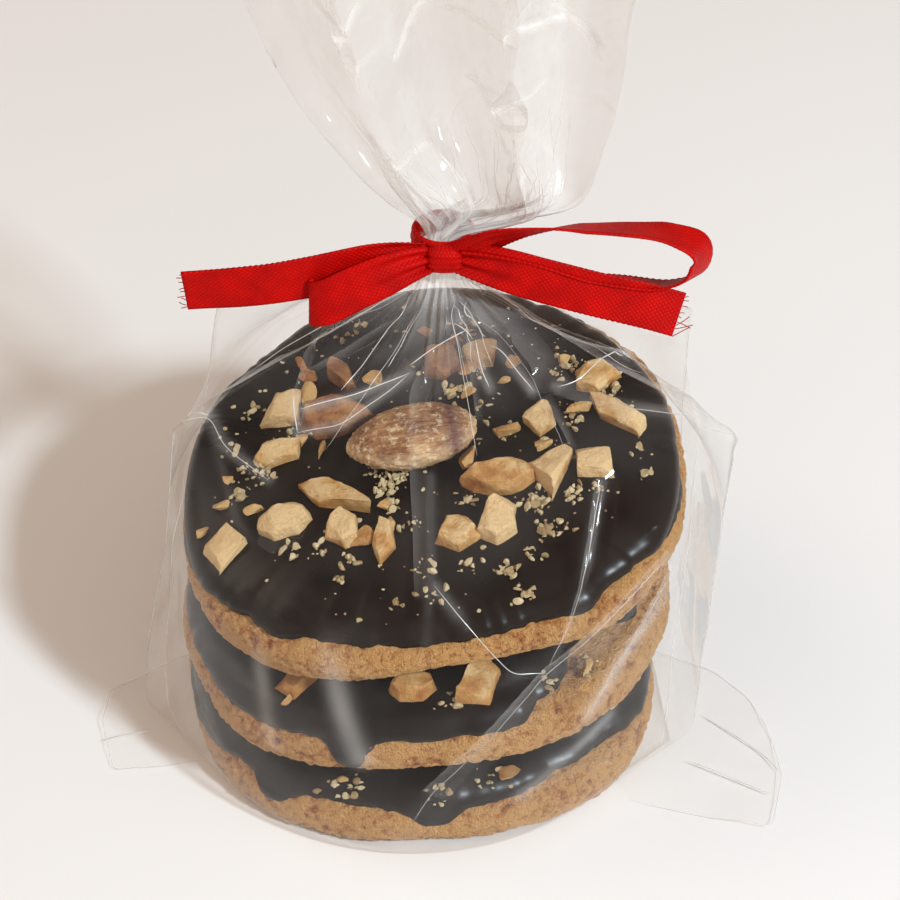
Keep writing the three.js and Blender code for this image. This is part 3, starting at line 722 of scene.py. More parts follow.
def own_axes(points):
    """Places along, across and up a piece's own axes, from its middle, from -1 to 1."""
    spread = points - points.mean(axis=0)
    axes = np.linalg.svd(spread, full_matrices=False)[2]
    axes = axes * np.sign([[axes[0, 0]], [axes[1, 1]], [axes[2, 2]]])
    local = spread @ axes.T
    return local / np.abs(local).max(axis=0)


ALMOND_CELL = 0.34
WRINKLE_HEIGHT, SHRINKAGE = 0.26, 0.25
WRINKLES = [(1, 0.55), (0.5, 0.25)]  # height and size
WRINKLE_LENGTH, WRINKLE_WIDTH = 9, 2  # wrinkles run along the almond


def almond_piece(node, seed):
    """A whole almond: its node's shape with a wrinkled skin."""
    mesh = remeshed(node, ALMOND_CELL)
    points = read_vectors(mesh.vertices, "co") / MM
    normals = read_vectors(mesh.vertices, "normal")
    local = own_axes(points)
    size = np.ptp(points, axis=0).max()
    stretched = local * np.array([size / WRINKLE_LENGTH, size / WRINKLE_WIDTH, size / WRINKLE_WIDTH])
    relief = layered_noise(stretched, WRINKLES, seed)
    moved = points + normals * (WRINKLE_HEIGHT * relief - SHRINKAGE)[:, None]
    mesh.vertices.foreach_set("co", (moved * MM).ravel())
    add_layer(mesh, "relief", 0.5 + 0.22 * relief)
    add_uv(mesh, local[:, :2])
    mesh.materials.clear()
    mesh.materials.append(ALMOND)
    mesh.polygons.foreach_set("use_smooth", [True] * len(mesh.polygons))
    dress(add_object(f"{node}_look", mesh), "almond", node)


def sphere_mesh(subdivisions):
    """Points and triangles of a ball with a radius of 1."""
    ball = bmesh.new()
    bmesh.ops.create_icosphere(ball, subdivisions=subdivisions, radius=1)
    points = np.array([vertex.co for vertex in ball.verts])
    faces = np.array([[vertex.index for vertex in face.verts] for face in ball.faces])
    ball.free()
    return points, faces


def turned(points, degrees):
    angle = math.radians(degrees)
    c, s = math.cos(angle), math.sin(angle)
    return points @ np.array([[c, s, 0], [-s, c, 0], [0, 0, 1]])


# The large pieces of nut: corners seen from above (12 for a rounded half), length, width, height,
# turn in degrees, how much the far end narrows, how much the top slopes, and tone (0 brown, 1 pale).
NUT_LOOKS = {
    "nut_top_half_left": (12, 13.0, 7.4, 4.4, 12, 0.15, 0.10, 0.30),
    "nut_top_half_right": (12, 13.0, 6.8, 3.7, 2, -0.10, 0.05, 0.52),
    "nut_top_half_front": (7, 9.8, 6.6, 3.6, 16, 0.10, 0.10, 0.92),
    "nut_top_half_long": (5, 13.6, 5.0, 3.4, -24, 0.30, 0.20, 0.80),
    "nut_top_chip_front_left": (5, 7.6, 6.2, 3.6, -62, 0.35, 0.15, 0.95),
    "nut_top_chip_splinter": (5, 9.0, 3.9, 3.2, 82, 0.15, 0.10, 0.75),
    "nut_top_chip_far_left": (4, 8.2, 7.4, 2.6, 38, 0.00, 0.05, 1.05),
    "nut_top_chip_left": (5, 9.0, 5.8, 3.0, 8, 0.15, 0.15, 0.85),
    "nut_top_chip_back_left": (4, 9.0, 6.4, 3.4, 80, 0.10, 0.15, 0.90),
    "nut_top_chip_back": (5, 8.4, 4.3, 3.4, -62, 0.35, 0.15, 0.30),
    "nut_top_chip_front_right": (6, 8.8, 6.4, 3.9, 62, 0.25, 0.15, 1.00),
    "nut_top_chip_front": (5, 7.6, 6.8, 3.4, 20, 0.10, 0.15, 0.75),
    "nut_top_chip_corner": (3, 8.4, 7.4, 3.4, 100, 0.00, 0.25, 0.92),
    "nut_top_chip_square": (4, 7.4, 7.2, 2.8, -4, 0.00, 0.06, 0.85),
    "nut_top_chip_right": (5, 12.0, 5.2, 3.0, -40, 0.10, 0.10, 0.80),
    "nut_top_chip_back_right": (5, 9.6, 6.2, 3.4, 35, 0.20, 0.15, 0.70),
    "nut_top_chip_middle_right": (5, 8.2, 4.8, 3.0, 80, 0.10, 0.10, 0.85),
    "nut_top_chip_rear": (5, 6.8, 5.8, 3.8, 30, 0.10, 0.20, 0.35),
    "nut_top_chip_rear_right": (5, 7.0, 6.2, 3.4, 60, 0.10, 0.15, 0.85),
    "nut_middle_chip_right": (4, 8.8, 6.4, 4.0, 72, 0.10, 0.10, 0.52),
    "nut_middle_chip_front": (7, 8.4, 5.6, 3.6, 8, 0.00, 0.10, 0.46),
    "nut_middle_chip_left": (4, 6.4, 4.8, 3.0, 40, 0.20, 0.15, 0.50),
}


STONE_FINENESS = 5
BEVELS = 4  # broken edges between a piece's top and its sides
NUT_SHARE = (0.93, 0.93, 0.84)  # of the sizes above that shows, as the edges are worn
NUT_STRETCH = 1.12  # upwards, and then the piece is sunk a little into the chocolate
NUT_SUNK = 0.5
TOP_SUNK = 0.15
NUT_ROUGHNESS = [(0.20, 1.9), (0.09, 0.8)]  # height and size
SKINNED_TONE = 0.4  # pieces browner than this have their skin on


def broken_stone(dice, corners, size, narrowing, slope):
    """A piece with flat broken sides and a sloping top, standing on its flat side: points and faces."""
    ball, faces = sphere_mesh(STONE_FINENESS)
    points = ball * 1.5
    points[:, 2] += 0.5
    cuts = []  # planes: outward direction and distance; first the sides, then two slopes on top
    for index in range(corners):
        angle = 2 * math.pi * (index + dice.uniform(-0.16, 0.16)) / corners
        lean = dice.uniform(-0.1, 0.3)
        reach = math.cos(math.pi / corners) ** 0.6 * dice.uniform(0.92, 1.0)
        cuts.append(((math.cos(angle), math.sin(angle), lean), reach))
    for part in (0.0, 1.0):
        side = dice.uniform(0, 2 * math.pi)
        tilt = slope * (1 + 2.5 * part)
        cuts.append(((tilt * math.cos(side), tilt * math.sin(side), 1.0), 0.94 + 0.14 * part))
    for _ in range(BEVELS):
        side = dice.uniform(0, 2 * math.pi)
        cuts.append(((math.cos(side), math.sin(side), dice.uniform(0.5, 1.3)), dice.uniform(0.98, 1.14)))
    cuts.append(((0, 0, -1.0), 0.0))
    for normal, reach in cuts:
        normal = unit(np.array(normal))
        points = points - np.maximum(points @ normal - reach, 0)[:, None] * normal
    points[:, 1] *= 1 - narrowing * np.clip(points[:, 0], -1, 1)
    return points * np.array([size[0] / 2, size[1] / 2, size[2]]), faces


def nut_piece(node, seed):
    """One large piece of nut, laid where its node lies."""
    corners, length, width, height, turn, narrowing, slope, tone = NUT_LOOKS[node]
    cookie = COOKIES[node.split("_")[1]]
    dice = np.random.default_rng(seed)
    size = np.array([length, width, height]) * NUT_SHARE
    points, faces = broken_stone(dice, corners, size, narrowing, slope)
    points[:, :2] -= (points[:, :2].max(axis=0) + points[:, :2].min(axis=0)) / 2
    rough = layered_noise(points, NUT_ROUGHNESS, seed)
    # How low each point lies on the piece, for painted shade towards its foot.
    side = np.clip(1.15 - points[:, 2] / points[:, 2].max(), 0, 1)
    points = points + rough[:, None] * unit(points - [0, 0, height / 2])
    there = cookie.local(node_points(node))
    middle = (there.max(axis=0) + there.min(axis=0)) / 2
    fall = slope_there(cookie, middle[0], middle[1])
    points = turned(points, turn)
    points[:, 2] = points[:, 2] * NUT_STRETCH - NUT_SUNK
    points[:, 2] += points[:, 0] * fall[0] + points[:, 1] * fall[1] + fall[2]
    points[:, :2] += middle[:2]
    # Darker towards the foot and where the rough skin dips, which is painted shade; the soft noise is the
    # nut's own tone.
    brown = 0.14 * soft_noise(points, 2.4, seed + 7) + 0.6 * rough - 0.22 * side + 0.05
    layers = {"relief": np.clip(0.16 + 0.62 * tone + brown, 0, 1.2)}
    finish = SKINNED_NUT if tone < SKINNED_TONE else NUT
    dress(make_object(f"{node}_look", cookie.place(points), faces, finish, True, layers), "nut", node)


def slope_there(cookie, x, y):
    """The chocolate's fall to the right and back at a place, and its height there."""
    height = chocolate_top(cookie, x, y)
    across = (chocolate_top(cookie, x + 1, y) - chocolate_top(cookie, x - 1, y)) / 2
    back = (chocolate_top(cookie, x, y + 1) - chocolate_top(cookie, x, y - 1)) / 2
    return across, back, height - TOP_SUNK


def chocolate_top(cookie, x, y):
    """Height of the chocolate's surface in the cookie's own axes."""
    angle = np.array([math.atan2(y, x)])
    edge = chocolate_edge(cookie, angle)
    radius = np.array([math.hypot(x, y)])
    radius = radius - cookie.reach(angle) * (radius / cookie.radius) ** 2
    lift = chocolate_height(cookie, np.minimum(radius, edge - 0.5), edge)
    return on_profile(cookie.profile, radius, lift)[1][0]


for seed, node in enumerate(sorted(NUT_LOOKS), start=100):
    nut_piece(node, seed)
for seed, node in enumerate(("almond_top", "almond_middle"), start=150):
    almond_piece(node, seed)


# ---------------------------------------------------------------- small chips and crumbs

def broken_lump(dice, ball, cuts, size):
    """A ball cut by random planes, drawn out to a size."""
    points = ball.copy()
    for _ in range(cuts):
        normal = unit(dice.normal(size=3))
        over = np.maximum(points @ normal - dice.uniform(0.25, 0.7), 0)
        points -= over[:, None] * normal
    return points * np.asarray(size) / 2 * 1.15


class Scatter(Batch):
    """Many small lumps gathered into one mesh, each with its tone."""

    def __init__(self, subdivisions, seed):
        super().__init__()
        self.ball, self.ball_faces = sphere_mesh(subdivisions)
        self.dice = np.random.default_rng(seed)

    def drop(self, cookie, x, y, size, turn, cuts, tone):
        points = turned(broken_lump(self.dice, self.ball, cuts, size), turn)
        height = chocolate_top(cookie, x, y) + 0.3 * size[2]
        self.add(cookie.place(points + np.array([x, y, height])), self.ball_faces, np.full(len(points), tone))

    def make(self, name, material, smooth):
        points, faces, tones = self.joined()
        dress(make_object(name, points, faces, material, smooth, {"relief": tones}), "nut")


# Small chips: place, length, width, height, turn in degrees, tone (0 brown, 1 pale).
SMALL_CHIPS = {
    "top": [
        (-20.3, 18.7, 5.8, 2.0, 1.8, -58, 0.15),
        (-18.7, 15.4, 3.2, 2.6, 2.0, 30, 0.1),
        (-8.3, 14.6, 5.0, 3.5, 2.6, 35, 0.75),
        (-19.3, 11.2, 4.6, 2.6, 2.4, 80, 0.8),
        (-19.0, 1.6, 2.6, 1.8, 1.6, 70, 0.6),
        (-16.2, -1.0, 4.0, 1.4, 1.6, 75, 0.8),
        (-31.0, -4.7, 2.4, 1.9, 1.2, -50, 0.7),
        (5.3, 21.3, 4.0, 3.0, 2.4, 60, 0.2),
        (-0.3, 24.3, 3.6, 2.6, 2.2, 20, 0.1),
        (7.6, 16.2, 4.7, 2.8, 2.4, 50, 0.6),
        (13.0, 11.0, 2.4, 1.8, 1.4, 10, 0.9),
        (7.3, 8.9, 3.0, 2.0, 1.6, 80, 0.7),
        (4.8, 9.8, 2.8, 1.6, 1.4, 30, 0.7),
        (14.2, 1.2, 4.8, 3.4, 2.8, -8, 0.75),
        (18.6, -3.1, 4.0, 2.8, 2.4, 0, 0.7),
        (29.4, 12.9, 4.4, 2.4, 2.2, 75, 0.85),
        (24.0, 4.8, 5.2, 2.6, 2.2, 20, 0.75),
        (6.9, -5.2, 4.6, 3.4, 2.8, 70, 0.55),
        (-9.4, -18.8, 3.6, 2.8, 2.2, 40, 0.5),
        (-6.0, -13.1, 2.6, 2.0, 1.8, 10, 0.7),
        (-4.7, -16.8, 3.0, 1.8, 1.8, 80, 0.8),
        (-26.3, -11.4, 2.6, 2.2, 1.8, 0, 0.9),
        (-32.0, -9.9, 3.2, 2.0, 1.8, 10, 0.9),
        (-34.3, -13.9, 2.4, 1.6, 1.4, 60, 0.8),
        (14.8, 15.8, 3.0, 2.4, 2.0, 20, 0.7),
        (22.4, 15.0, 2.6, 2.0, 1.8, 60, 0.8),
    ],
    "middle": [(25.6, -26.3, 3.6, 1.6, 1.4, 60, 0.8), (-20.0, -31.0, 2.6, 1.8, 1.4, 20, 0.6)],
    "bottom": [(14.4, -31.6, 3.4, 2.6, 1.8, 20, 0.6), (-12.0, -33.2, 2.0, 1.4, 1.2, 0, 0.7)],
}

# Clusters of crumbs on the top cookie: place, spread, and how many.
CRUMB_CLUSTERS = [
    (-5.5, -9.6, 2.6, 60), (-3.4, -7.7, 1.8, 30), (-4.7, -14.4, 1.6, 18), (-7.2, -5.7, 2.0, 20),
    (-1.3, -18.1, 1.8, 14), (-10.7, -24.0, 1.6, 12), (-12.1, -26.7, 1.0, 6), (-15.5, -21.0, 1.6, 8),
    (-0.1, -26.2, 1.6, 10), (-19.9, -21.0, 1.8, 8), (19.1, -20.3, 2.4, 26), (16.9, -15.2, 2.6, 46),
    (22.8, -14.3, 2.0, 28), (12.5, -27.3, 1.8, 22), (15.1, -30.9, 1.6, 16), (7.0, -26.1, 1.6, 12),
    (16.3, -24.2, 1.4, 12), (6.8, -13.8, 1.8, 10), (26.4, -12.8, 1.4, 12), (-27.8, -4.4, 2.0, 14),
    (-29.0, -9.5, 2.2, 22), (-25.8, -5.6, 1.8, 16), (-31.0, 0.2, 1.8, 8), (13.2, -0.9, 1.8, 10),
    (23.7, 14.5, 2.4, 22), (21.5, 12.0, 1.8, 12), (18.6, -3.5, 1.6, 10), (23.0, 1.4, 2.0, 16),
    (-28.7, 8.8, 2.2, 12), (-25.9, -3.5, 1.4, 10), (33.2, -5.0, 1.6, 6), (34.2, -9.2, 1.4, 6),
    (-20.2, 2.4, 2.2, 14), (8.6, 14.0, 1.8, 18), (4.6, 8.8, 2.0, 16), (7.1, 24.3, 2.0, 10),
    (-13.7, 23.4, 1.8, 8), (-11.3, 26.8, 1.4, 6), (20.8, -7.9, 1.8, 12), (-3.6, -31.4, 1.6, 6),
    (29.0, 8.0, 3.0, 18), (-16.0, 4.0, 3.5, 14), (10.0, 4.0, 3.0, 12), (2.0, -30.0, 2.0, 8),
]
CRUMB_SHIFT = 1.8  # chips and clusters on the top cookie lie this far back from their places above
LOOSE_CRUMBS = 200
LOOSE_SHARE = 0.6  # size of a loose crumb, as a share of one in a cluster
CRUMB_AREA = 34  # how far from the middle loose crumbs lie
LOWER_COUNT = 10  # crumbs in each cluster on the two lower cookies
CHIP_SHARE = 1.22  # length and width of a chip before it is broken, as a share of the list's
CHIP_CUTS = 12
SEEN_BACK = 1.11  # from the camera, each millimetre of height makes a point look this far back
LOWER_CRUMBS = {
    "middle": [(-28, -20), (5, -34), (20, -30), (25.6, -26.3)],
    "bottom": [(13.5, -33.0), (11.0, -34.0), (-13, -34.6), (-10, -35.2), (2, -36.4), (4, -36.2), (31, -18)],
}


def crumb_size(dice):
    """Length, width and height of a crumb: mostly small, a few up to 1.8 millimetres."""
    length = 0.42 + 1.35 * dice.random() ** 2.4
    return length, length * dice.uniform(0.45, 1), length * dice.uniform(0.5, 0.9)


def chip_height_shift(height):
    """The chips' places were read half way up them, as the camera sees them; this is the way back."""
    return -SEEN_BACK * height / 2


def small_chips():
    """Chips too small to be nodes, with rough skins."""
    chips = Scatter(4, 5)
    for cookie, places in SMALL_CHIPS.items():
        for x, y, length, width, height, turn, tone in places:
            y = y + chip_height_shift(height) + (CRUMB_SHIFT if cookie == "top" else 0)
            size = (CHIP_SHARE * length, CHIP_SHARE * width, height)
            chips.drop(COOKIES[cookie], x, y, size, turn, CHIP_CUTS, tone)
    for index, points in enumerate(chips.points):
        rough = 0.12 * soft_noise(points, 1.6, index) + 0.08 * soft_noise(points, 0.6, index)
        chips.points[index] = points + rough[:, None] * unit(points - points.mean(axis=0))
        chips.values[index] = chips.values[index] * 0.7 + 0.2 * soft_noise(points, 1.6, index + 50)
    chips.make("small_chips", SMALL_NUT, True)


def crumbs():
    """Crumbs of nut: clusters and loose ones on the top cookie, and clusters on the lower two."""
    scatter = Scatter(2, 9)
    dice = scatter.dice
    top = COOKIES["top"]
    for x, y, spread, count in CRUMB_CLUSTERS:
        for _ in range(count):
            dx, dy = dice.normal(scale=spread * 0.5, size=2)
            place = x + dx, y + dy + CRUMB_SHIFT
            scatter.drop(top, *place, crumb_size(dice), dice.uniform(0, 180), 6, dice.random())
    for _ in range(LOOSE_CRUMBS):
        angle, radius = dice.uniform(0, 2 * math.pi), CRUMB_AREA * math.sqrt(dice.random())
        size = [side * LOOSE_SHARE for side in crumb_size(dice)]
        scatter.drop(top, radius * math.cos(angle), radius * math.sin(angle), size, 0, 4, dice.random())
    for name, places in LOWER_CRUMBS.items():
        for x, y in places:
            for _ in range(LOWER_COUNT):
                dx, dy = dice.normal(scale=0.8, size=2)
                scatter.drop(COOKIES[name], x + dx, y + dy, crumb_size(dice), 0, 5, dice.random())
    scatter.make("crumbs", CRUMB, False)


small_chips()
crumbs()


# ---------------------------------------------------------------- the film bag

# The bag's shape, as the CAD has it: a round core that hugs the cookies and is drawn in to the neck,
# and four creases that stand out from it. Levels: height of the core's middle, radius, and the slope of
# the level to the right and to the back.
FILM_INSET = 0.9  # the film lies this far inside the CAD solid's outside
NECK = {"x": 4, "y": 8, "low": 79.5, "high": 87, "radius": 3.2}
BAG_LEVELS = np.array([
    (0.06, 40.9, 0, 0),
    (1.2, 42.2, 0, 0),
    (4, 43.4, 0, 0),
    (19, 43.4, 0.024, -0.03),
    (32, 43.4, 0.07, 0.03),
    (41, 43.4, 0.105, 0.087),
    (46, 43.1, 0.105, 0.087),
    (51, 41.2, 0.105, 0.087),
    (56.5, 33, 0.08, 0.06),
    (61, 26.2, 0.06, 0.04),
    (64.5, 20.4, 0.045, 0.025),
    (68, 14.8, 0.03, 0.01),
    (72, 10.4, 0.01, 0),
    (75.5, 7.2, 0, 0),
    (78, 5.2, 0, 0),
    (79.5, 4.1, 0, 0),
    (85, 4.1, 0, 0),
])
CREASES = [
    ((44.8, -19), (46.5, -15, 64.5)),
    ((44.5, 19), (42.5, 14, 64.5)),
    ((-44.5, 22), (-31, 21, 68)),
    ((-47, -12), (-37, -5, 61)),
]
RIDGE_END = 0.97  # of the way in to the neck
FOOT_CORNER = 9  # the creases' lower corners are rounded up to this height
CREASE_COLUMNS = (150, 62, 126, 66)  # columns from each crease to the one before it
BAG_ROWS = 152
LEVEL_EASING = 7  # rows over which a bend between two levels is rounded
FOOT_REACH = 0.35  # share of a crease's reach that is left at the table
TABLE_GAP = 0.05  # the film's lowest points stand this far above the table
CRUMPLE_TURN = np.array([[0.80, 0.48, 0.36], [-0.60, 0.64, 0.48], [0.0, -0.60, 0.80]])


def facets(points, size, seed):
    """Crumpled film: flat triangles with sharp folds between them, from about -1 to 1."""
    bend = np.stack([soft_noise(points, 2.2 * size, seed + axis) for axis in (1, 2, 3)], axis=-1)
    place = (points / size + 0.3 * bend) @ CRUMPLE_TURN
    cell = np.floor(place)
    part = place - cell
    order = np.argsort(-part, axis=-1)
    ranked = np.take_along_axis(part, order, axis=-1)
    total = (1 - ranked[..., 0]) * hashed(cell, seed)
    corner = cell.copy()
    for step in range(3):
        axis = order[..., step:step + 1]
        np.put_along_axis(corner, axis, np.take_along_axis(corner, axis, axis=-1) + 1, axis=-1)
        after = ranked[..., step + 1] if step < 2 else 0
        total += (ranked[..., step] - after) * hashed(corner, seed)
    return 2 * total - 1


def crumpled(points, layers):
    """Crumples of several sizes laid over one another: height, size and seed of each."""
    return sum(height * facets(points, size, seed) for height, size, seed in layers)


def eased(values, width):
    """Values with their corners rounded over width samples."""
    padded = np.concatenate([np.full(width, values[0]), values, np.full(width, values[-1])])
    window = np.hanning(2 * width + 1)
    smooth = np.convolve(padded, window / window.sum(), mode="same")[width:-width]
    smooth[0], smooth[-1] = values[0], values[-1]
    return smooth


def crease_line(crease, z):
    """Where a crease stands: up its edge to the shoulder, then in along its ridge to the neck."""
    (foot_x, foot_y), (x, y, shoulder) = crease
    rise = np.clip(z / shoulder, 0, 1)
    run = np.minimum(rising(z, shoulder, NECK["low"] - shoulder), RIDGE_END)
    across = foot_x + (x - foot_x) * rise
    back = foot_y + (y - foot_y) * rise
    return across + (NECK["x"] - across) * run, back + (NECK["y"] - back) * run


def core_middle(z):
    """The middle of the bag's round core at a height."""
    share = np.minimum(z / NECK["low"], 1)
    return NECK["x"] * share ** 1.2, NECK["y"] * share ** 2


def film_outline():
    """The bag's film before it is folded: points, row by row from the table up to the neck."""
    sizes = np.hypot(np.diff(BAG_LEVELS[:, 0]), np.diff(BAG_LEVELS[:, 1]))
    steps = np.concatenate([[0], np.cumsum(sizes)])
    along = np.linspace(0, steps[-1], BAG_ROWS)
    levels = [np.interp(along, steps, BAG_LEVELS[:, i]) for i in range(4)]
    z, radius, right, back = (eased(level, LEVEL_EASING) for level in levels)
    radius = radius - FILM_INSET
    middle_x, middle_y = core_middle(z)
    lines = [crease_line(crease, z) for crease in CREASES]
    directions = [np.arctan2(y - middle_y, x - middle_x) for x, y in lines]
    distances = [np.hypot(x - middle_x, y - middle_y) for x, y in lines]
    angles = []
    for index, columns in enumerate(CREASE_COLUMNS):
        before = directions[index - 1]
        turn = (directions[index] - before) % (2 * math.pi)
        angles.append(before[:, None] + turn[:, None] * np.arange(columns) / columns)
    angle = np.concatenate(angles, axis=1)
    corner = np.sqrt(1 - (1 - np.clip(z / FOOT_CORNER, 0, 1)) ** 2)
    reach = np.broadcast_to(radius[:, None], angle.shape).copy()
    for direction, distance in zip(directions, distances):
        far = radius + np.maximum(distance - radius, 0) * (FOOT_REACH + (1 - FOOT_REACH) * corner)
        spread = np.arccos(radius / far)[:, None]
        away = np.abs(turn_from(angle, direction[:, None]))
        line = radius[:, None] / np.cos(np.clip(spread - away, 0, 1.5))
        reach = np.where(away < spread, np.maximum(reach, line), reach)
    dx, dy = reach * np.cos(angle), reach * np.sin(angle)
    height = z[:, None] + right[:, None] * dx + back[:, None] * dy
    return np.stack([middle_x[:, None] + dx, middle_y[:, None] + dy, height], axis=-1)


# Creases pressed into the film: points along them, how far the film stands up there, how wide the
# film slopes away on both sides, and how much the crease gleams.
BODY_FOLDS = [
    ([(-16.9, -6.8, 63.5), (-8.7, -6.5, 66.0), (-0.7, -4.9, 69.1)], 0.9, 4, 1.0),
    ([(-17.4, -9.6, 61.6), (-10.6, -10.0, 63.4), (-0.7, -4.9, 69.1)], 0.6, 3, 0.7),
    ([(-18.1, -4.7, 64.4), (-17.4, -9.6, 61.6)], 0.5, 2, 1.0),
    ([(5.8, 1.3, 73.8), (8.5, -0.8, 72.4)], 0.4, 1.5, 1.0),
    ([(-0.7, -4.0, 69.6), (3.1, -1.6, 71.7), (7.1, 0.3, 73.1)], 0.4, 2, 0.9),
    ([(9.3, -0.8, 72.4), (9.5, -4.8, 70.0), (10.8, -7.4, 68.4)], 0.5, 2, 1.0),
    ([(11.4, -1.9, 71.8), (13.8, -4.0, 70.6), (17.1, -8.1, 68.4)], 0.7, 3, 1.0),
    ([(20.7, -7.7, 68.7), (23.8, -6.6, 68.5), (31.7, 4.5, 65.7)], 0.9, 4, 1.0),
    ([(18.9, 8.8, 71.9), (31.7, 4.5, 65.7), (40.2, -7.3, 65.2)], 0.9, 4, 0.5),
    ([(-36.8, -4.8, 60.4), (-30.8, -4.7, 60.5), (-28.9, -8.5, 58.6), (-21.7, -14.0, 56.4)], 0.6, 3, 0.6),
    ([(-36.4, -2.0, 60.6), (-30.8, -4.7, 60.5)], 0.4, 2, 1.0),
    ([(2.8, -31.5, 51.6), (6.0, -34.6, 49.1), (13.8, -37.4, 40.5), (18.5, -35.9, 39.6)], 0.7, 4, 0.6),
    ([(2.1, -18.7, 61.0), (2.3, -31.5, 51.6), (1.5, -36.9, 45.9)], 0.5, 3, 0.3),
    ([(27.0, -18.5, 60.4), (24.8, -27.0, 52.3), (21.6, -33.2, 45.8), (18.9, -35.7, 40.7)], 0.7, 3, 0.35),
    ([(36.7, -22.4, 49.9), (18.5, -35.9, 39.6), (2.1, -41.3, 18.7), (-1.5, -41.4, 10.0)], 1.0, 5, 0.4),
    ([(37.4, -22.5, 46.9), (24.3, -33.8, 26.2)], 0.7, 4, 0.4),
    ([(-30.8, -4.7, 60.5), (-26.5, -16.6, 50.4), (-10.4, -35.1, 44.3), (-6.4, -37.9, 40.4)], 0.8, 7, 0.25),
    ([(-28.6, -20.3, 46.0), (-10.1, -36.0, 42.8)], 0.5, 3, 0.15),
    ([(41.2, -13.6, 66.4), (39.6, -21.0, 46.7), (39.0, -22.5, 25.7), (39.0, -23.1, 6.6)], 0.5, 2, 0.5),
    ([(41.2, -13.6, 66.4), (46.5, -15.0, 65.8)], 0.3, 2, 0.4),
    ([(-37.1, -9.6, 52.0), (-38.6, -12.6, 30.0), (-40.8, -15.8, 8.8), (-38.2, -19.4, 4.8)], 0.4, 2, 0.4),
    ([(31.7, -10.5, 67.2), (40.0, -12.0, 66.8)], 0.4, 2, 0.5),
]

# Painted reflections, soft pale streaks where the film bends towards the window: points along them, half
# width, strength.
SHEENS = [
    ([(-26.5, -31, 54), (-22, -34.5, 21)], 1.6, 0.26),
    ([(-20, -36, 52), (-15, -38, 50), (-8.5, -40.5, 24.5)], 1.9, 0.34),
    ([(38, -20.5, 43), (32, -28.5, 37), (25.5, -34, 27.5)], 1.6, 0.22),
    ([(16, -39, 14), (22, -36, 18.5), (29.5, -31, 22.5)], 1.4, 0.2),
]

# Strips where the film is folded double: points along the middle, half width at the start and the end.
DOUBLE_STRIPS = [
    ([(-12.9, 7.2, 69.6), (-18.1, -4.7, 64.4)], 1.7, 0.3),
    ([(4.0, -2.4, 71.2), (0.4, -7.2, 67.9), (0.5, -15.0, 63.1), (0.8, -23.6, 57.5), (1.2, -32.9, 50.3)],
     1.5, 1.1),
    ([(9.3, 3.2, 75.0), (16.8, -2.0, 71.9), (20.7, -7.7, 68.7)], 1.6, 2.4),
    ([(20.7, -7.7, 68.7), (31.7, -10.5, 67.7), (38.8, -11.6, 67.2)], 1.4, 0.5),
    ([(19.3, -8.6, 68.1), (23.2, -15.4, 63.9)], 0.8, 0.5),
    ([(27.0, -18.5, 60.4), (24.8, -27.0, 52.3), (21.6, -33.2, 45.8), (19.1, -35.6, 40.7)], 0.9, 0.4),
    ([(36.7, -22.4, 49.9), (18.5, -35.9, 39.6), (2.1, -41.3, 18.7)], 1.2, 2.0),
    ([(37.4, -22.5, 46.9), (24.3, -33.8, 26.2)], 1.5, 1.1),
    ([(-2.0, 2.4, 73.0), (-10.0, 0.6, 68.6), (-16.0, -0.8, 65.4)], 1.2, 0.4),
    ([(8.0, 0.4, 73.4), (8.8, -6.4, 69.6), (9.4, -12.0, 66.0)], 0.9, 0.5),
]

NECK_PLEATS = 34
NECK_CREASES = 34
FAINT = 0.3  # creases that gleam less than this get no hair-thin painted highlight line
CREASE_BLUR = 0.8  # millimetres of painted highlight beside a crease
HIGHLIGHT_HAZE = 0.20  # how strongly a painted highlight is laid on as white haze
BODY_CRUMPLE = [(0.42, 17, 3), (0.16, 7, 8)]
STRIP_COLUMNS = 9
THREAD_ASIDE = (0.31, 0.17, 0.93)  # a direction that no crease takes


def near_line(points, start, end):
    """Distance from points to a straight line piece."""
    start, end = np.array(start, dtype=float), np.array(end, dtype=float)
    run = end - start
    share = np.clip((points - start) @ run / (run @ run), 0, 1)
    return np.linalg.norm(points - start - share[..., None] * run, axis=-1)


def near_path(points, path):
    """Distance from points to the nearest piece of a bent line."""
    return np.min([near_line(points, *ends) for ends in zip(path, path[1:])], axis=0)


def fold_lines(points, folds):
    """How far the film stands up along its creases, and how much painted highlight lies beside them."""
    total, painted_highlight = np.zeros(points.shape[:-1]), np.zeros(points.shape[:-1])
    for line, height, width, gleam in folds:
        distance = near_path(points, line)
        total = np.maximum(total, height * np.maximum(1 - distance / width, 0))
        painted_highlight = np.maximum(painted_highlight, gleam * np.exp(-(distance / CREASE_BLUR) ** 2))
    return total, painted_highlight


def around_neck(points):
    """Distance from the neck's axis, and direction from it."""
    out_x, out_y = points[..., 0] - NECK["x"], points[..., 1] - NECK["y"]
    return np.hypot(out_x, out_y), np.arctan2(out_y, out_x)


def pleats(points, count, seed):
    """Folds that run out from the gathered neck and fade over the shoulder."""
    dice = np.random.default_rng(seed)
    away, angle = around_neck(points)
    total = np.zeros_like(away)
    for index in range(count):
        middle = 2 * math.pi * (index + dice.uniform(-0.35, 0.35)) / count
        bend = dice.uniform(-0.006, 0.006)
        width = dice.uniform(0.5, 1.3) * (0.28 + away / 26)
        end = dice.uniform(9, 34)
        height = dice.uniform(0.5, 1.0) * dice.choice([-1, 1], p=[0.35, 0.65])
        off = np.abs(turn_from(angle - middle, bend * away)) * away
        fade = np.clip(1 - away / end, 0, 1) ** 0.8 * np.minimum(away / 9, 1)
        total += 1.4 * height * fade * np.maximum(1 - off / width, 0) ** 1.3
    return total


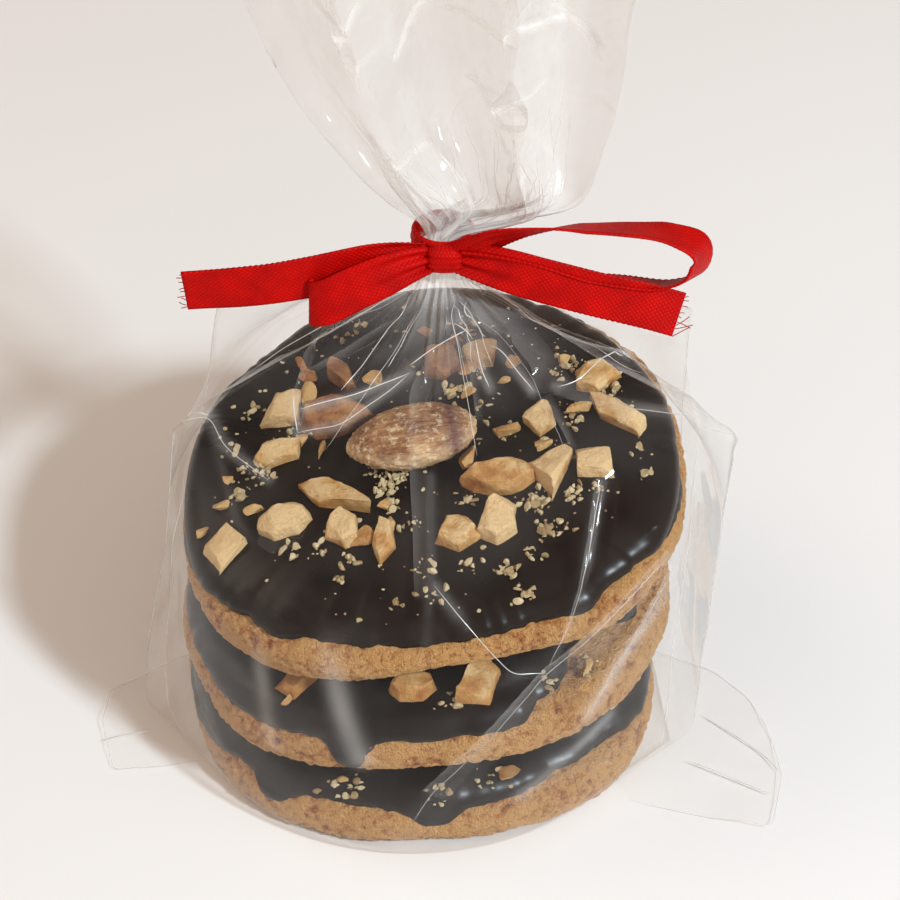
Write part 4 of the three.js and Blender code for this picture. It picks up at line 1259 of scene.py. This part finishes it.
class FilmSurface:
    """A sheet of film that other pieces are laid on."""

    def __init__(self, grid, around):
        self.points = grid.reshape(-1, 3)
        self.normals = grid_normals(grid, around).reshape(-1, 3)
        self.tree = KDTree(len(self.points))
        for index, point in enumerate(self.points):
            self.tree.insert(point, index)
        self.tree.balance()

    def lay(self, line, lift):
        """Moves the points of a line on to the film, and gives the film's normal at each."""
        found = [self.tree.find(point)[1] for point in line]
        near, normal = self.points[found], self.normals[found]
        height = ((line - near) * normal).sum(axis=1, keepdims=True)
        laid = line - (height - lift) * normal
        return np.stack([eased(laid[:, axis], 4) for axis in range(3)], axis=-1), normal


def even_line(points, step):
    """Points at even steps along a line of straight pieces."""
    points = np.array(points, dtype=float)
    length = np.concatenate([[0], np.cumsum(np.linalg.norm(np.diff(points, axis=0), axis=1))])
    along = np.linspace(0, length[-1], max(int(length[-1] / step), 3))
    return np.stack([np.interp(along, length, points[:, i]) for i in range(3)], axis=-1)


class CreaseThreads(Batch):
    """The pressed edges of the film's creases: hair-thin lines that carry a painted highlight."""

    def lay(self, line, radius, gleam):
        share = np.linspace(0, 1, len(line))
        thin = radius * np.clip(np.minimum(8 * share + 0.15, 8 * (1 - share) + 0.15), 0, 1)
        grid = tube(line, thin, THREAD_ASIDE)
        self.add(grid, grid_faces(*grid.shape[:2], around=True), np.full(grid[..., 0].size, gleam))

    def make(self, name):
        points, faces, gleams = self.joined()
        dress(make_object(name, points, faces, CREASE, True, {"gleam": gleams}), "film", "bag")


def make_film(name, grid, around, haze, extra_points=(), extra_faces=()):
    """A sheet of film from a grid of points, with its haze and its painted highlights."""
    points = np.concatenate([grid.reshape(-1, 3), np.reshape(extra_points, (-1, 3))])
    faces = grid_faces(*grid.shape[:2], around).tolist() + list(extra_faces)
    haze = np.concatenate([np.broadcast_to(haze, grid.shape[:2]).ravel(), np.zeros(len(extra_points))])
    return dress(make_object(name, points, faces, FILM, True, {"haze": haze}), "film", "bag")


def bag_body():
    """The film round the cookies and up to the neck, whose surface other pieces are laid on."""
    grid = film_outline()
    z = grid[..., 2]
    normal = grid_normals(grid, around=True)
    rise, loose, near_neck = rising(z, 2, 6), rising(z, 50, 12), rising(z, 74, 6)
    crumple = crumpled(grid, BODY_CRUMPLE) * rise * (1 + 1.2 * loose) * (1 - near_neck)
    fold, painted_highlight = fold_lines(grid, BODY_FOLDS)
    fold = fold + pleats(grid, NECK_PLEATS, 12)
    turn = np.linspace(0, 2 * math.pi, grid.shape[1], endpoint=False)
    gather = 0.35 * near_neck * np.sin(26 * turn)
    away, _ = around_neck(grid)
    gathered = np.exp(-np.clip(away - 4, 0, 60) / 5.5) * loose
    wrinkle = 0.5 * gathered * facets(grid, 2.4, 71)
    grid = grid + normal * (crumple + fold + gather + wrinkle)[..., None]
    grid[..., 2] = np.maximum(grid[..., 2], TABLE_GAP)
    # Patches of white haze on the crumpled facets, and the pale streaks of SHEENS: painted reflections.
    veil_and_sheen = np.clip(facets(grid, 12, 78) - 0.1, 0, 1) * rise
    patchy = (0.75 + 0.35 * soft_noise(grid, 7, 91)) / HIGHLIGHT_HAZE
    for line, width, strength in SHEENS:
        streak = strength * patchy * np.exp(-(near_path(grid, line) / width) ** 2)
        painted_highlight = np.maximum(painted_highlight, streak)
    # Real milkiness where the film is gathered near the neck, plus painted highlights and reflections laid on
    # as white haze.
    haze = 0.5 * gathered * (0.6 + 0.4 * facets(grid, 3, 77)) + HIGHLIGHT_HAZE * painted_highlight + 0.025 * veil_and_sheen
    rows, columns = grid.shape[:2]
    foot = [((i + 1) % columns, i, rows * columns) for i in range(columns)]
    make_film("bag_film_body", grid, True, haze, [[0, 0, TABLE_GAP]], foot)
    return FilmSurface(grid, around=True)


def body_creases(surface):
    """Painted highlight lines along the body's creases, its four corners, and small creases out from the
    neck.
    """
    threads = CreaseThreads()
    for line, _, _, gleam in BODY_FOLDS:
        if gleam > FAINT:
            laid, _ = surface.lay(even_line(line, 0.7), 0.05)
            threads.lay(laid, 0.04 + 0.05 * gleam, 0.8 * gleam)
    for crease in CREASES:
        z = np.linspace(FOOT_CORNER, crease[1][2] - 1, 70)
        x, y = crease_line(crease, z)
        laid, _ = surface.lay(np.stack([x, y, z], axis=-1), 0.0)
        threads.lay(laid, 0.08, 0.3)
    dice = np.random.default_rng(63)
    for _ in range(NECK_CREASES):
        angle = dice.uniform(0, 2 * math.pi)
        reach = dice.uniform(7, 20) if dice.random() < 0.7 else dice.uniform(20, 32)
        away = np.linspace(dice.uniform(3.5, 5), reach, 24)
        bent = angle + dice.uniform(-0.012, 0.012) * away
        x, y = NECK["x"] + away * np.cos(bent), NECK["y"] + away * np.sin(bent)
        guess = np.stack([x, y, 77.5 - 0.62 * away], axis=-1)
        laid, _ = surface.lay(guess, 0.05)
        threads.lay(laid, dice.uniform(0.04, 0.09), dice.uniform(0.1, 0.7))
    threads.make("bag_creases_body")


def double_strips(surface):
    """Strips of film lying double on the bag."""
    strips = Batch()
    for line, start, end in DOUBLE_STRIPS:
        middle, normal = surface.lay(even_line(line, 0.8), 0.12)
        across = np.cross(unit(np.gradient(middle, axis=0)), normal)
        share = np.linspace(0, 1, len(middle))
        half = start + (end - start) * share
        place = np.linspace(-1, 1, STRIP_COLUMNS)
        curl = 0.22 * np.abs(place) ** 3
        grid = middle[:, None] + across[:, None] * (half[:, None] * place)[..., None]
        grid = grid + normal[:, None] * (curl + 0.1 * soft_noise(grid, 3, 5))[..., None]
        fade = np.clip(6 * np.minimum(share, 1 - share), 0, 1)[:, None]
        veil_and_sheen = 0.01 + 0.05 * fade * np.clip(0.5 + 0.8 * place + 0.5 * soft_noise(grid, 6, 15), 0, 1)
        strips.add(grid, grid_faces(len(middle), STRIP_COLUMNS, around=False), veil_and_sheen.ravel())
    points, faces, haze = strips.joined()
    dress(make_object("bag_film_strips", points, faces, FILM, True, {"haze": haze}), "film", "bag")


# The gathered mouth, a ruffled flat tube: left and right edge, ruffle depth and the gap between its
# two sides, by height.
MOUTH_LEVELS = np.array([
    (84.5, 1.9, 6.1, 0.1, 4.0),
    (87.15, 1.6, 6.4, 0.1, 3.8),
    (87.9, -0.5, 13, 0.8, 3.0),
    (88.8, -2.4, 21, 1.2, 2.6),
    (90.2, -4.2, 24, 1.8, 2.6),
    (93, -7.6, 25.4, 3.5, 2.6),
    (97, -11.2, 26.5, 5.5, 2.6),
    (103.3, -16.2, 27.6, 7.6, 2.4),
    (111.6, -20.6, 28.9, 9, 2.2),
    (124, -25.3, 30.2, 10, 2.0),
    (137.6, -28.4, 31.9, 10.6, 1.8),
])
MOUTH_RUFFLES = 2.4  # waves across it
MOUTH_LEAN = 0.05  # how far back it leans for each millimetre up
MOUTH_ROWS = 150
MOUTH_COLUMNS = 150  # on each side
MOUTH_FOLDS = 44  # straight creases, anywhere on it
MOUTH_PLEATS = 64  # folds that rise from the neck
MOUTH_WIDTH = 58  # of each sheet, laid flat
MOUTH_CREASE_BLUR = 0.5  # millimetres of painted highlight beside a crease
MOUTH_CRUMPLE = [(1.5, 24, 31), (0.55, 10, 37), (0.16, 4, 39)]
SHEETS_APART = 60  # the mouth's two sheets crumple as if they were this far apart


def mouth_sheet(share, z, side):
    """Points of the unfolded mouth at a share of the way across, a height, and a side, -1 or 1."""
    left, right, depth, gap = (np.interp(z, MOUTH_LEVELS[:, 0], MOUTH_LEVELS[:, i]) for i in range(1, 5))
    bulge = side * np.sqrt(np.clip(4 * share * (1 - share), 0, 1))
    wave = depth * np.sin(2 * math.pi * MOUTH_RUFFLES * share + 0.6)
    x = left + (right - left) * share
    y = NECK["y"] + MOUTH_LEAN * (z - NECK["high"]) + wave + 0.5 * gap * bulge
    return np.stack(np.broadcast_arrays(x, y, z), axis=-1)


def mouth_folds():
    """Creases across the unfolded mouth: both ends, side, height and width of the fold, gleam."""
    dice = np.random.default_rng(27)
    folds = []
    for _ in range(MOUTH_FOLDS):
        x, z = dice.uniform(0.06, 0.94) * MOUTH_WIDTH, dice.uniform(94, 136)
        lean, length = dice.normal(scale=0.9), dice.uniform(6, 22)
        start = (x, z, 0)
        end = (x + length * math.sin(lean), z + length * math.cos(lean), 0)
        folds.append((start, end, dice.choice([-1, 1]), dice.uniform(0.5, 1.5), dice.uniform(4, 9),
                      dice.random() ** 2.2))
    return folds


def mouth_pleats():
    """Folds that rise from the neck: share, drift, top, width, side and height."""
    dice = np.random.default_rng(44)
    return [{
        "share": dice.uniform(0.03, 0.97),
        "drift": dice.uniform(-0.004, 0.004),
        "top": dice.uniform(90, 118),
        "width": dice.uniform(0.012, 0.035),
        "side": dice.choice([-1, 1]),
        "height": dice.uniform(0.25, 0.9),
    } for _ in range(MOUTH_PLEATS)]


def bag_mouth():
    """The open mouth above the neck: two sheets of film, crumpled, folded and gathered below."""
    low, high = MOUTH_LEVELS[0, 0], MOUTH_LEVELS[-1, 0]
    z = np.linspace(low, high, MOUTH_ROWS)[:, None]
    there = np.linspace(0, 1, MOUTH_COLUMNS, endpoint=False)
    share = np.concatenate([there, 1 - there])[None, :]
    side = np.repeat([-1.0, 1.0], MOUTH_COLUMNS)[None, :]
    grid = mouth_sheet(share, z, side)
    for axis in range(3):
        grid[..., axis] = np.apply_along_axis(eased, 0, grid[..., axis], 6)
    normal = grid_normals(grid, around=True)
    apart = grid + np.array([0, SHEETS_APART, 0]) * (side > 0)[..., None]
    up = rising(grid[..., 2], 86, 20)
    seam = np.clip(24 * share * (1 - share), 0, 1)
    fold, painted_highlight = np.zeros(grid.shape[:2]), np.zeros(grid.shape[:2])
    flat = np.stack(np.broadcast_arrays(MOUTH_WIDTH * share, z, 0.0), axis=-1)
    for start, end, sheet, height, width, gleam in mouth_folds():
        distance = near_line(flat, start, end)
        on_sheet = side == sheet
        fold += on_sheet * height * np.maximum(1 - distance / width, 0) * sheet
        # A painted highlight beside each crease.
        painted_highlight = np.maximum(painted_highlight, on_sheet * gleam * np.exp(-(distance / MOUTH_CREASE_BLUR) ** 2))
    ribs = mouth_pleats()
    for rib in ribs:
        off = np.abs(share - rib["share"] - rib["drift"] * (z - low)) / rib["width"]
        fade = np.clip(1 - (z - low) / (rib["top"] - low), 0, 1) ** 0.7
        height = rib["height"] * fade * (side == rib["side"])
        fold += height * np.maximum(1 - off, 0) ** 1.2
        # A painted highlight along each pleat.
        painted_highlight = np.maximum(painted_highlight, 0.5 * height * np.exp(-(3 * off) ** 2))
    grid = grid + normal * (up * seam * crumpled(apart, MOUTH_CRUMPLE) + fold)[..., None]
    # Paler facets, which are painted reflections of the room, and painted highlights beside creases and
    # pleats, laid on as white haze over the real milkiness low down where the film is gathered.
    veil_and_sheen = np.clip(facets(apart, 15, 57), 0, 1) + 0.8 * np.clip(facets(apart, 6, 58) - 0.25, 0, 1)
    haze = 0.30 * np.exp(-np.clip(z - 87, 0, 60) / 8) + 0.10 * veil_and_sheen + 0.55 * painted_highlight
    make_film("bag_film_mouth", grid, True, haze)
    surface = FilmSurface(grid, around=True)
    # Hair-thin painted highlight lines along the pleats.
    threads = CreaseThreads()
    for rib in ribs:
        z_line = np.linspace(low + 1, low + 0.6 * (rib["top"] - low), 24)
        share_line = np.clip(rib["share"] + rib["drift"] * (z_line - low), 0.01, 0.99)
        laid, _ = surface.lay(mouth_sheet(share_line, z_line, rib["side"]), 0.05)
        threads.lay(laid, 0.05, rib["height"] * 0.6)
    threads.make("bag_creases_mouth")


# Flat corners of film on the table: the outline outwards, and where it comes out of the bag.
FLAT_CORNERS = {
    "right": {
        "outline": [(34, -30), (56.4, -35.8), (59.3, -25), (58.4, -16), (55.8, -8), (50.5, -2), (36, 4)],
        "root": [(30, -24), (34, 0)],
        "creases": [[(47.5, -12, 1), (56.8, -20.4, 1), (59.0, -24.4, 0.6)], [(44, -22, 1), (57, -29, 1)]],
    },
    "left": {
        "outline": [(-36, -22), (-50.3, -23.8), (-53.2, -14), (-52.8, -6), (-36, 4)],
        "root": [(-34, -18), (-34, 0)],
        "creases": [[(-44, -16, 1), (-52.6, -18, 0.6)]],
    },
}
CORNER_ROWS = 60
CORNER_COLUMNS = 120


def flat_corner(name, seed):
    """One flat corner of film on the table, with its creases."""
    corner = FLAT_CORNERS[name]
    edge = even_line([(x, y, 0) for x, y in corner["outline"]], 0.1)
    edge = edge[np.linspace(0, len(edge) - 1, CORNER_COLUMNS).astype(int)]
    edge = np.stack([eased(edge[:, i], 5) for i in range(3)], axis=-1)
    root = np.linspace([*corner["root"][0], 0], [*corner["root"][1], 0], CORNER_COLUMNS)
    share = np.linspace(0, 1, CORNER_ROWS)[:, None, None]
    place = root + (edge - root) * share
    crumple = crumpled(place, [(1.0, 9, seed), (0.4, 4, seed + 3)])
    lift = 0.5 + 1.1 * (1 - share[..., 0]) + 0.8 * crumple
    place[..., 2] = np.clip(lift, 0.06, 3)
    make_film(f"bag_film_{name}_corner", place, False, 0.0)
    surface = FilmSurface(place, around=False)
    # Hair-thin painted highlight lines round the corner's edge and along its creases.
    threads = CreaseThreads()
    threads.lay(place[-1], 0.06, 0.25)
    for line in corner["creases"]:
        laid, _ = surface.lay(even_line(line, 0.8), 0.05)
        threads.lay(laid, 0.09, 0.6)
    threads.make(f"bag_creases_{name}_corner")


BODY_SURFACE = bag_body()
body_creases(BODY_SURFACE)
double_strips(BODY_SURFACE)
bag_mouth()
flat_corner("right", 51)
flat_corner("left", 57)


# ---------------------------------------------------------------- the ribbon bow

RIBBON_WIDTH = 6.6
RIBBON_THICKNESS = 0.34
RIBBON_GATHERED = 4.2  # its width at the knot
RIBBON_SPREAD = 11  # how far from the knot it has its full width again
RIBBON_STEP = 0.4
RIBBON_COLUMNS = 25  # on each face
KNOT = {"at": (4.2, 2.6, 84.9), "size": (5.0, 2.8, 4.1)}
KNOT_GRID = (60, 90)
WRAP_GRID = (40, 120)

# Each run of ribbon: points along its middle, and how its width stands at even steps along it:
# lean back from upright and swing to the right (degrees). The loops come back to the knot.
RIBBON_RUNS = {
    "left_tail": {
        "path": [(2, 3, 85), (-5.2, 2.2, 84.3), (-16.9, 0.8, 82.4), (-25.6, 0.2, 81.6), (-33.8, 0, 81)],
        "width": [(10, 0), (2, 0)],
    },
    "right_tail": {
        "path": [(6, 3, 84.9), (12.3, 1.6, 84), (19.6, 0.3, 82.4), (26.9, -0.6, 80.7), (34.3, -1.2, 79),
                 (38.6, -1.4, 77.7)],
        "width": [(14, 0), (24, 0)],
    },
    "right_loop": {
        "path": [(6, 3, 85.6), (12.2, 1.6, 89.5), (19.3, 1.2, 91.1), (26.5, 1.4, 91.1), (33.7, 1.8, 90.3),
                 (37.9, 2.2, 88.9), (40.8, 2.4, 87), (41.5, 2.2, 84.8), (40.7, 2, 82.4), (38.2, 2.2, 80.8),
                 (34.4, 2.4, 80.2), (27, 2.6, 81.2), (19.7, 3, 82.4), (12.3, 3.3, 83.6), (6, 3.4, 84.6)],
        "width": [(-20, 0), (-66, -30), (-70, -35), (-60, -30), (-20, 0)],
    },
    "left_loop": {
        "path": [(2, 2.2, 85), (-2.3, 0.6, 84.4), (-8.1, -1, 82.5), (-13.1, -1.9, 80.3), (-15.7, -0.6, 79.2),
                 (-13.6, 0.9, 79.4), (-9.7, 1.2, 81.2), (-4.5, 2, 83.2), (2, 3, 84.8)],
        "width": [(16, 0), (18, 0), (12, 0)],
    },
}
THREAD_RADIUS = 0.07
LOOSE_ASIDE = (0.3, 0.2, 1.0)  # a direction that no loose thread takes
LOOSE_THREADS = 9  # at each cut end
LONGEST_THREAD = {"right_tail": 3.6, "left_tail": 0.4}
SELVEDGE_STITCH = 0.8  # spacing of the little loops along the ribbon's edges
STITCH_HEIGHT = 0.1


def smooth_path(points, step):
    """Even points along a smooth curve through the given ones, and the distance along it."""
    points = np.array(points, dtype=float)
    before, after = 2 * points[0] - points[1], 2 * points[-1] - points[-2]
    knots = np.concatenate([[before], points, [after]])
    fine = []
    for p0, p1, p2, p3 in zip(knots, knots[1:], knots[2:], knots[3:]):
        t = np.linspace(0, 1, 40, endpoint=False)[:, None]
        fine.append(0.5 * (2 * p1 + (p2 - p0) * t + (2 * p0 - 5 * p1 + 4 * p2 - p3) * t ** 2
                           + (3 * p1 - 3 * p2 + p3 - p0) * t ** 3))
    fine = np.concatenate(fine + [points[-1:]])
    length = np.concatenate([[0], np.cumsum(np.linalg.norm(np.diff(fine, axis=0), axis=1))])
    along = np.linspace(0, length[-1], int(length[-1] / step))
    return np.stack([np.interp(along, length, fine[:, i]) for i in range(3)], axis=-1), along


def width_direction(width, share):
    """How the ribbon's width stands at shares of its run, between its even steps."""
    steps = np.linspace(0, 1, len(width))
    lean, swing = (np.radians(np.interp(share, steps, [step[axis] for step in width])) for axis in (0, 1))
    return np.stack([np.sin(swing), np.cos(swing) * np.sin(lean), np.cos(swing) * np.cos(lean)], axis=-1)


def ribbon_run(path, width, seed):
    """The two faces of a run of ribbon as one closed strip, and its UV in millimetres."""
    middle, along = smooth_path(path, RIBBON_STEP)
    tangent = unit(np.gradient(middle, axis=0))
    upright = width_direction(width, along / along[-1])
    across = unit(upright - (upright * tangent).sum(axis=1, keepdims=True) * tangent)
    normal = np.cross(tangent, across)
    is_loop = np.linalg.norm(middle[-1] - middle[0]) < KNOT["size"][0]
    from_knot = np.minimum(along, along[-1] - along) if is_loop else along
    spread = np.minimum(from_knot / RIBBON_SPREAD, 1)
    half_width = (RIBBON_GATHERED + (RIBBON_WIDTH - RIBBON_GATHERED) * spread * (2 - spread)) / 2
    stitch = np.abs(np.sin(math.pi * along / SELVEDGE_STITCH))
    place = np.linspace(-1, 1, RIBBON_COLUMNS)
    edge = np.clip(np.abs(place) * 12 - 11, 0, 1)
    reach = half_width[:, None] * place + STITCH_HEIGHT * stitch[:, None] * edge * np.sign(place)
    gather = (1 - spread)[:, None]
    flat = middle[:, None] + across[:, None] * reach[..., None]
    pleat = 0.5 * gather * np.cos(2.5 * math.pi * place + seed) + 0.3 * soft_noise(flat, 8, seed)
    pleat = pleat + STITCH_HEIGHT * edge * stitch[:, None]
    face_side = np.repeat([1.0, -1.0], RIBBON_COLUMNS)
    flat = np.concatenate([flat, flat[:, ::-1]], axis=1)
    pleat = np.concatenate([pleat, pleat[:, ::-1]], axis=1)
    grid = flat + normal[:, None] * (pleat + face_side * RIBBON_THICKNESS / 2)[..., None]
    uv_across = np.concatenate([place, place[::-1]]) * RIBBON_WIDTH / 2
    uv = np.stack(np.broadcast_arrays(along[:, None], uv_across), axis=-1).reshape(-1, 2)
    return grid, uv


def thread(start, heading, curl, dice):
    """One loose thread at a ribbon's cut end, as a thin tube that curls away."""
    share = np.linspace(0, 1, 16)[:, None]
    bend = unit(np.cross(heading, dice.normal(size=3)))
    length = np.linalg.norm(heading)
    middle = start + heading * share + bend * curl * length * share ** 2
    return tube(middle, THREAD_RADIUS, LOOSE_ASIDE)


def frayed_end(grid, longest, dice):
    """Loose threads out of the last row of a run, longer at its lower edge."""
    half = grid.shape[1] // 2
    heading = unit(grid[-1, :half] - grid[-4, :half])
    for index in range(LOOSE_THREADS):
        share = (index + dice.uniform(0, 0.8)) / LOOSE_THREADS
        place = int(share * (half - 1))
        length = longest * (1 - share) ** 2.5 + dice.uniform(0.4, 1.0)
        aim = heading[place] + dice.normal(scale=0.25, size=3) + np.array([0, 0, 0.45 * (1 - share)])
        yield thread(grid[-1, place], length * aim, dice.uniform(-0.2, 0.5), dice)


def strip_ends(rows, columns):
    """Faces that close both ends of a run, between its two faces."""
    return [(start + i, start + i + 1, start + columns - 2 - i, start + columns - 1 - i)
            for start in (0, (rows - 1) * columns) for i in range(columns // 2 - 1)]


def bow():
    """All the runs of ribbon with their loose threads, the knot, and the turns round the neck."""
    ribbon = Batch()
    dice = np.random.default_rng(17)

    def take(grid, uv, ends=()):
        faces = grid_faces(*grid.shape[:2], around=True)
        ribbon.add(grid, np.concatenate([faces, np.reshape(ends, (-1, 4)).astype(int)]), uv)

    for seed, (name, run) in enumerate(RIBBON_RUNS.items()):
        grid, uv = ribbon_run(run["path"], run["width"], seed)
        take(grid, uv, strip_ends(*grid.shape[:2]))
        if name in LONGEST_THREAD:
            for loose in frayed_end(grid, LONGEST_THREAD[name], dice):
                take(loose, np.zeros((loose[..., 0].size, 2)))
    take(*knot_grid())
    take(*wrap_grid())
    points, faces, uv = ribbon.joined()
    dress(make_object("ribbon", points, faces, RIBBON, True, None, uv), "ribbon", "ribbon_bow")


def knot_grid():
    """The knot: a small cushion with ribs across it where the ribbon is drawn together."""
    turn = np.linspace(0, 2 * math.pi, KNOT_GRID[1], endpoint=False)
    tilt = np.linspace(-math.pi / 2 + 0.02, math.pi / 2 - 0.02, KNOT_GRID[0])
    tilt_grid, turn_grid = np.meshgrid(tilt, turn, indexing="ij")

    def square(value, power):
        return np.sign(value) * np.abs(value) ** power

    ball = np.stack([
        square(np.sin(tilt_grid), 0.55),
        square(np.cos(tilt_grid), 0.55) * square(np.sin(turn_grid), 0.7),
        square(np.cos(tilt_grid), 0.55) * square(np.cos(turn_grid), 0.7),
    ], axis=-1)
    ribs = 1 + 0.05 * np.sin(13 * ball[..., 2] + 0.8 * ball[..., 0])
    grid = np.array(KNOT["at"]) + ball * np.array(KNOT["size"]) / 2 * ribs[..., None]
    uv = np.stack([grid[..., 2] * 1.2, grid[..., 0] * 1.2], axis=-1).reshape(-1, 2)
    return grid, uv


def wrap_grid():
    """The turns of ribbon round the neck, behind the knot."""
    turn = np.linspace(0, 2 * math.pi, WRAP_GRID[1], endpoint=False)
    section = np.linspace(0, 2 * math.pi, WRAP_GRID[0])
    section_grid, turn_grid = np.meshgrid(section, turn, indexing="ij")
    rise = 0.5 * RIBBON_GATHERED * np.sin(section_grid)
    radius = NECK["radius"] + 1.0 + 0.55 * np.cos(section_grid) + 0.12 * np.sin(5 * rise)
    grid = np.stack([
        NECK["x"] + radius * np.cos(turn_grid),
        NECK["y"] + radius * np.sin(turn_grid),
        KNOT["at"][2] + rise,
    ], axis=-1)
    uv = np.stack([turn_grid * 4, rise], axis=-1).reshape(-1, 2)
    return grid, uv


bow()


# ---------------------------------------------------------------- stage

WORLD_STRENGTH = 0.92
WORLD_TINT = (1.14, 0.92, 0.77)
FLOOR_HALF = 3.0
LIGHT_TARGET = Vector((0.0, 0.0, 0.04))
CAMERA_PITCH = math.radians(42)  # below the horizon
CAMERA_DISTANCE = 350 * MM
CAMERA_TARGET = Vector((5, 27.5, 25)) * MM
CAMERA_LENS = 80
SENSOR_WIDTH = 36
CLIP_START = 0.01


def area_light(name, place, size, power, color):
    light = bpy.data.lights.new(name, "AREA")
    light.shape = "DISK"
    light.size = size
    light.energy = power
    light.color = color
    lamp = add_object(name, light)
    lamp.location = place
    lamp.rotation_euler = (LIGHT_TARGET - Vector(place)).to_track_quat("-Z", "Y").to_euler()


def build_world():
    """The room as the film mirrors it: bright in front, dim behind, with lighter and darker parts."""
    world = bpy.data.worlds.new("studio")
    world.use_nodes = True
    nodes = Nodes(world.node_tree)
    direction = nodes.add("TexCoord").outputs["Generated"]
    depth = nodes.add("SeparateXYZ", {"Vector": direction}).outputs["Y"]
    place = nodes.add("MapRange", {"Value": depth, "From Min": -1.0}).outputs["Result"]
    level = nodes.ramp(place, [(0.0, grey(1.0)), (0.5, grey(0.86)), (0.72, grey(0.34)), (1.0, grey(0.42))])
    clouds = nodes.add("TexNoise", {"Vector": direction, "Scale": 2.6, "Detail": 1.0}).outputs["Fac"]
    patches = nodes.ramp(clouds, [(0.40, grey(0.45)), (0.62, WHITE)])
    mixed = nodes.add("VectorMath", {0: level, 1: patches}, operation="MULTIPLY").outputs[0]
    tinted = nodes.add("VectorMath", {0: mixed, 1: WORLD_TINT}, operation="MULTIPLY").outputs[0]
    background = world.node_tree.nodes["Background"]
    nodes.put(tinted, background.inputs["Color"])
    nodes.put(WORLD_STRENGTH, background.inputs["Strength"])
    bpy.context.scene.world = world


def build_floor():
    mesh = bpy.data.meshes.new("floor")
    corners = [(x * FLOOR_HALF, y * FLOOR_HALF, 0) for x, y in ((-1, -1), (1, -1), (1, 1), (-1, 1))]
    mesh.from_pydata(corners, [], [(0, 1, 2, 3)])
    mesh.materials.append(floor_material())
    add_object("floor", mesh)


def build_camera():
    data = bpy.data.cameras.new("camera")
    data.sensor_width = SENSOR_WIDTH
    data.lens = CAMERA_LENS
    data.clip_start = CLIP_START
    camera = add_object("camera", data)
    towards = Vector((0, math.cos(CAMERA_PITCH), -math.sin(CAMERA_PITCH)))
    camera.location = CAMERA_TARGET - CAMERA_DISTANCE * towards
    camera.rotation_euler = (math.pi / 2 - CAMERA_PITCH, 0, 0)
    bpy.context.scene.camera = camera


build_world()
build_floor()
area_light("key", (0.62, -0.50, 0.72), 0.09, 11.4, (0.75, 0.88, 0.98))
area_light("fill", (-0.7, 0.2, 0.8), 0.6, 1.8, (1.0, 0.90, 0.80))
build_camera()
bpy.context.scene.view_settings.view_transform = "Standard"
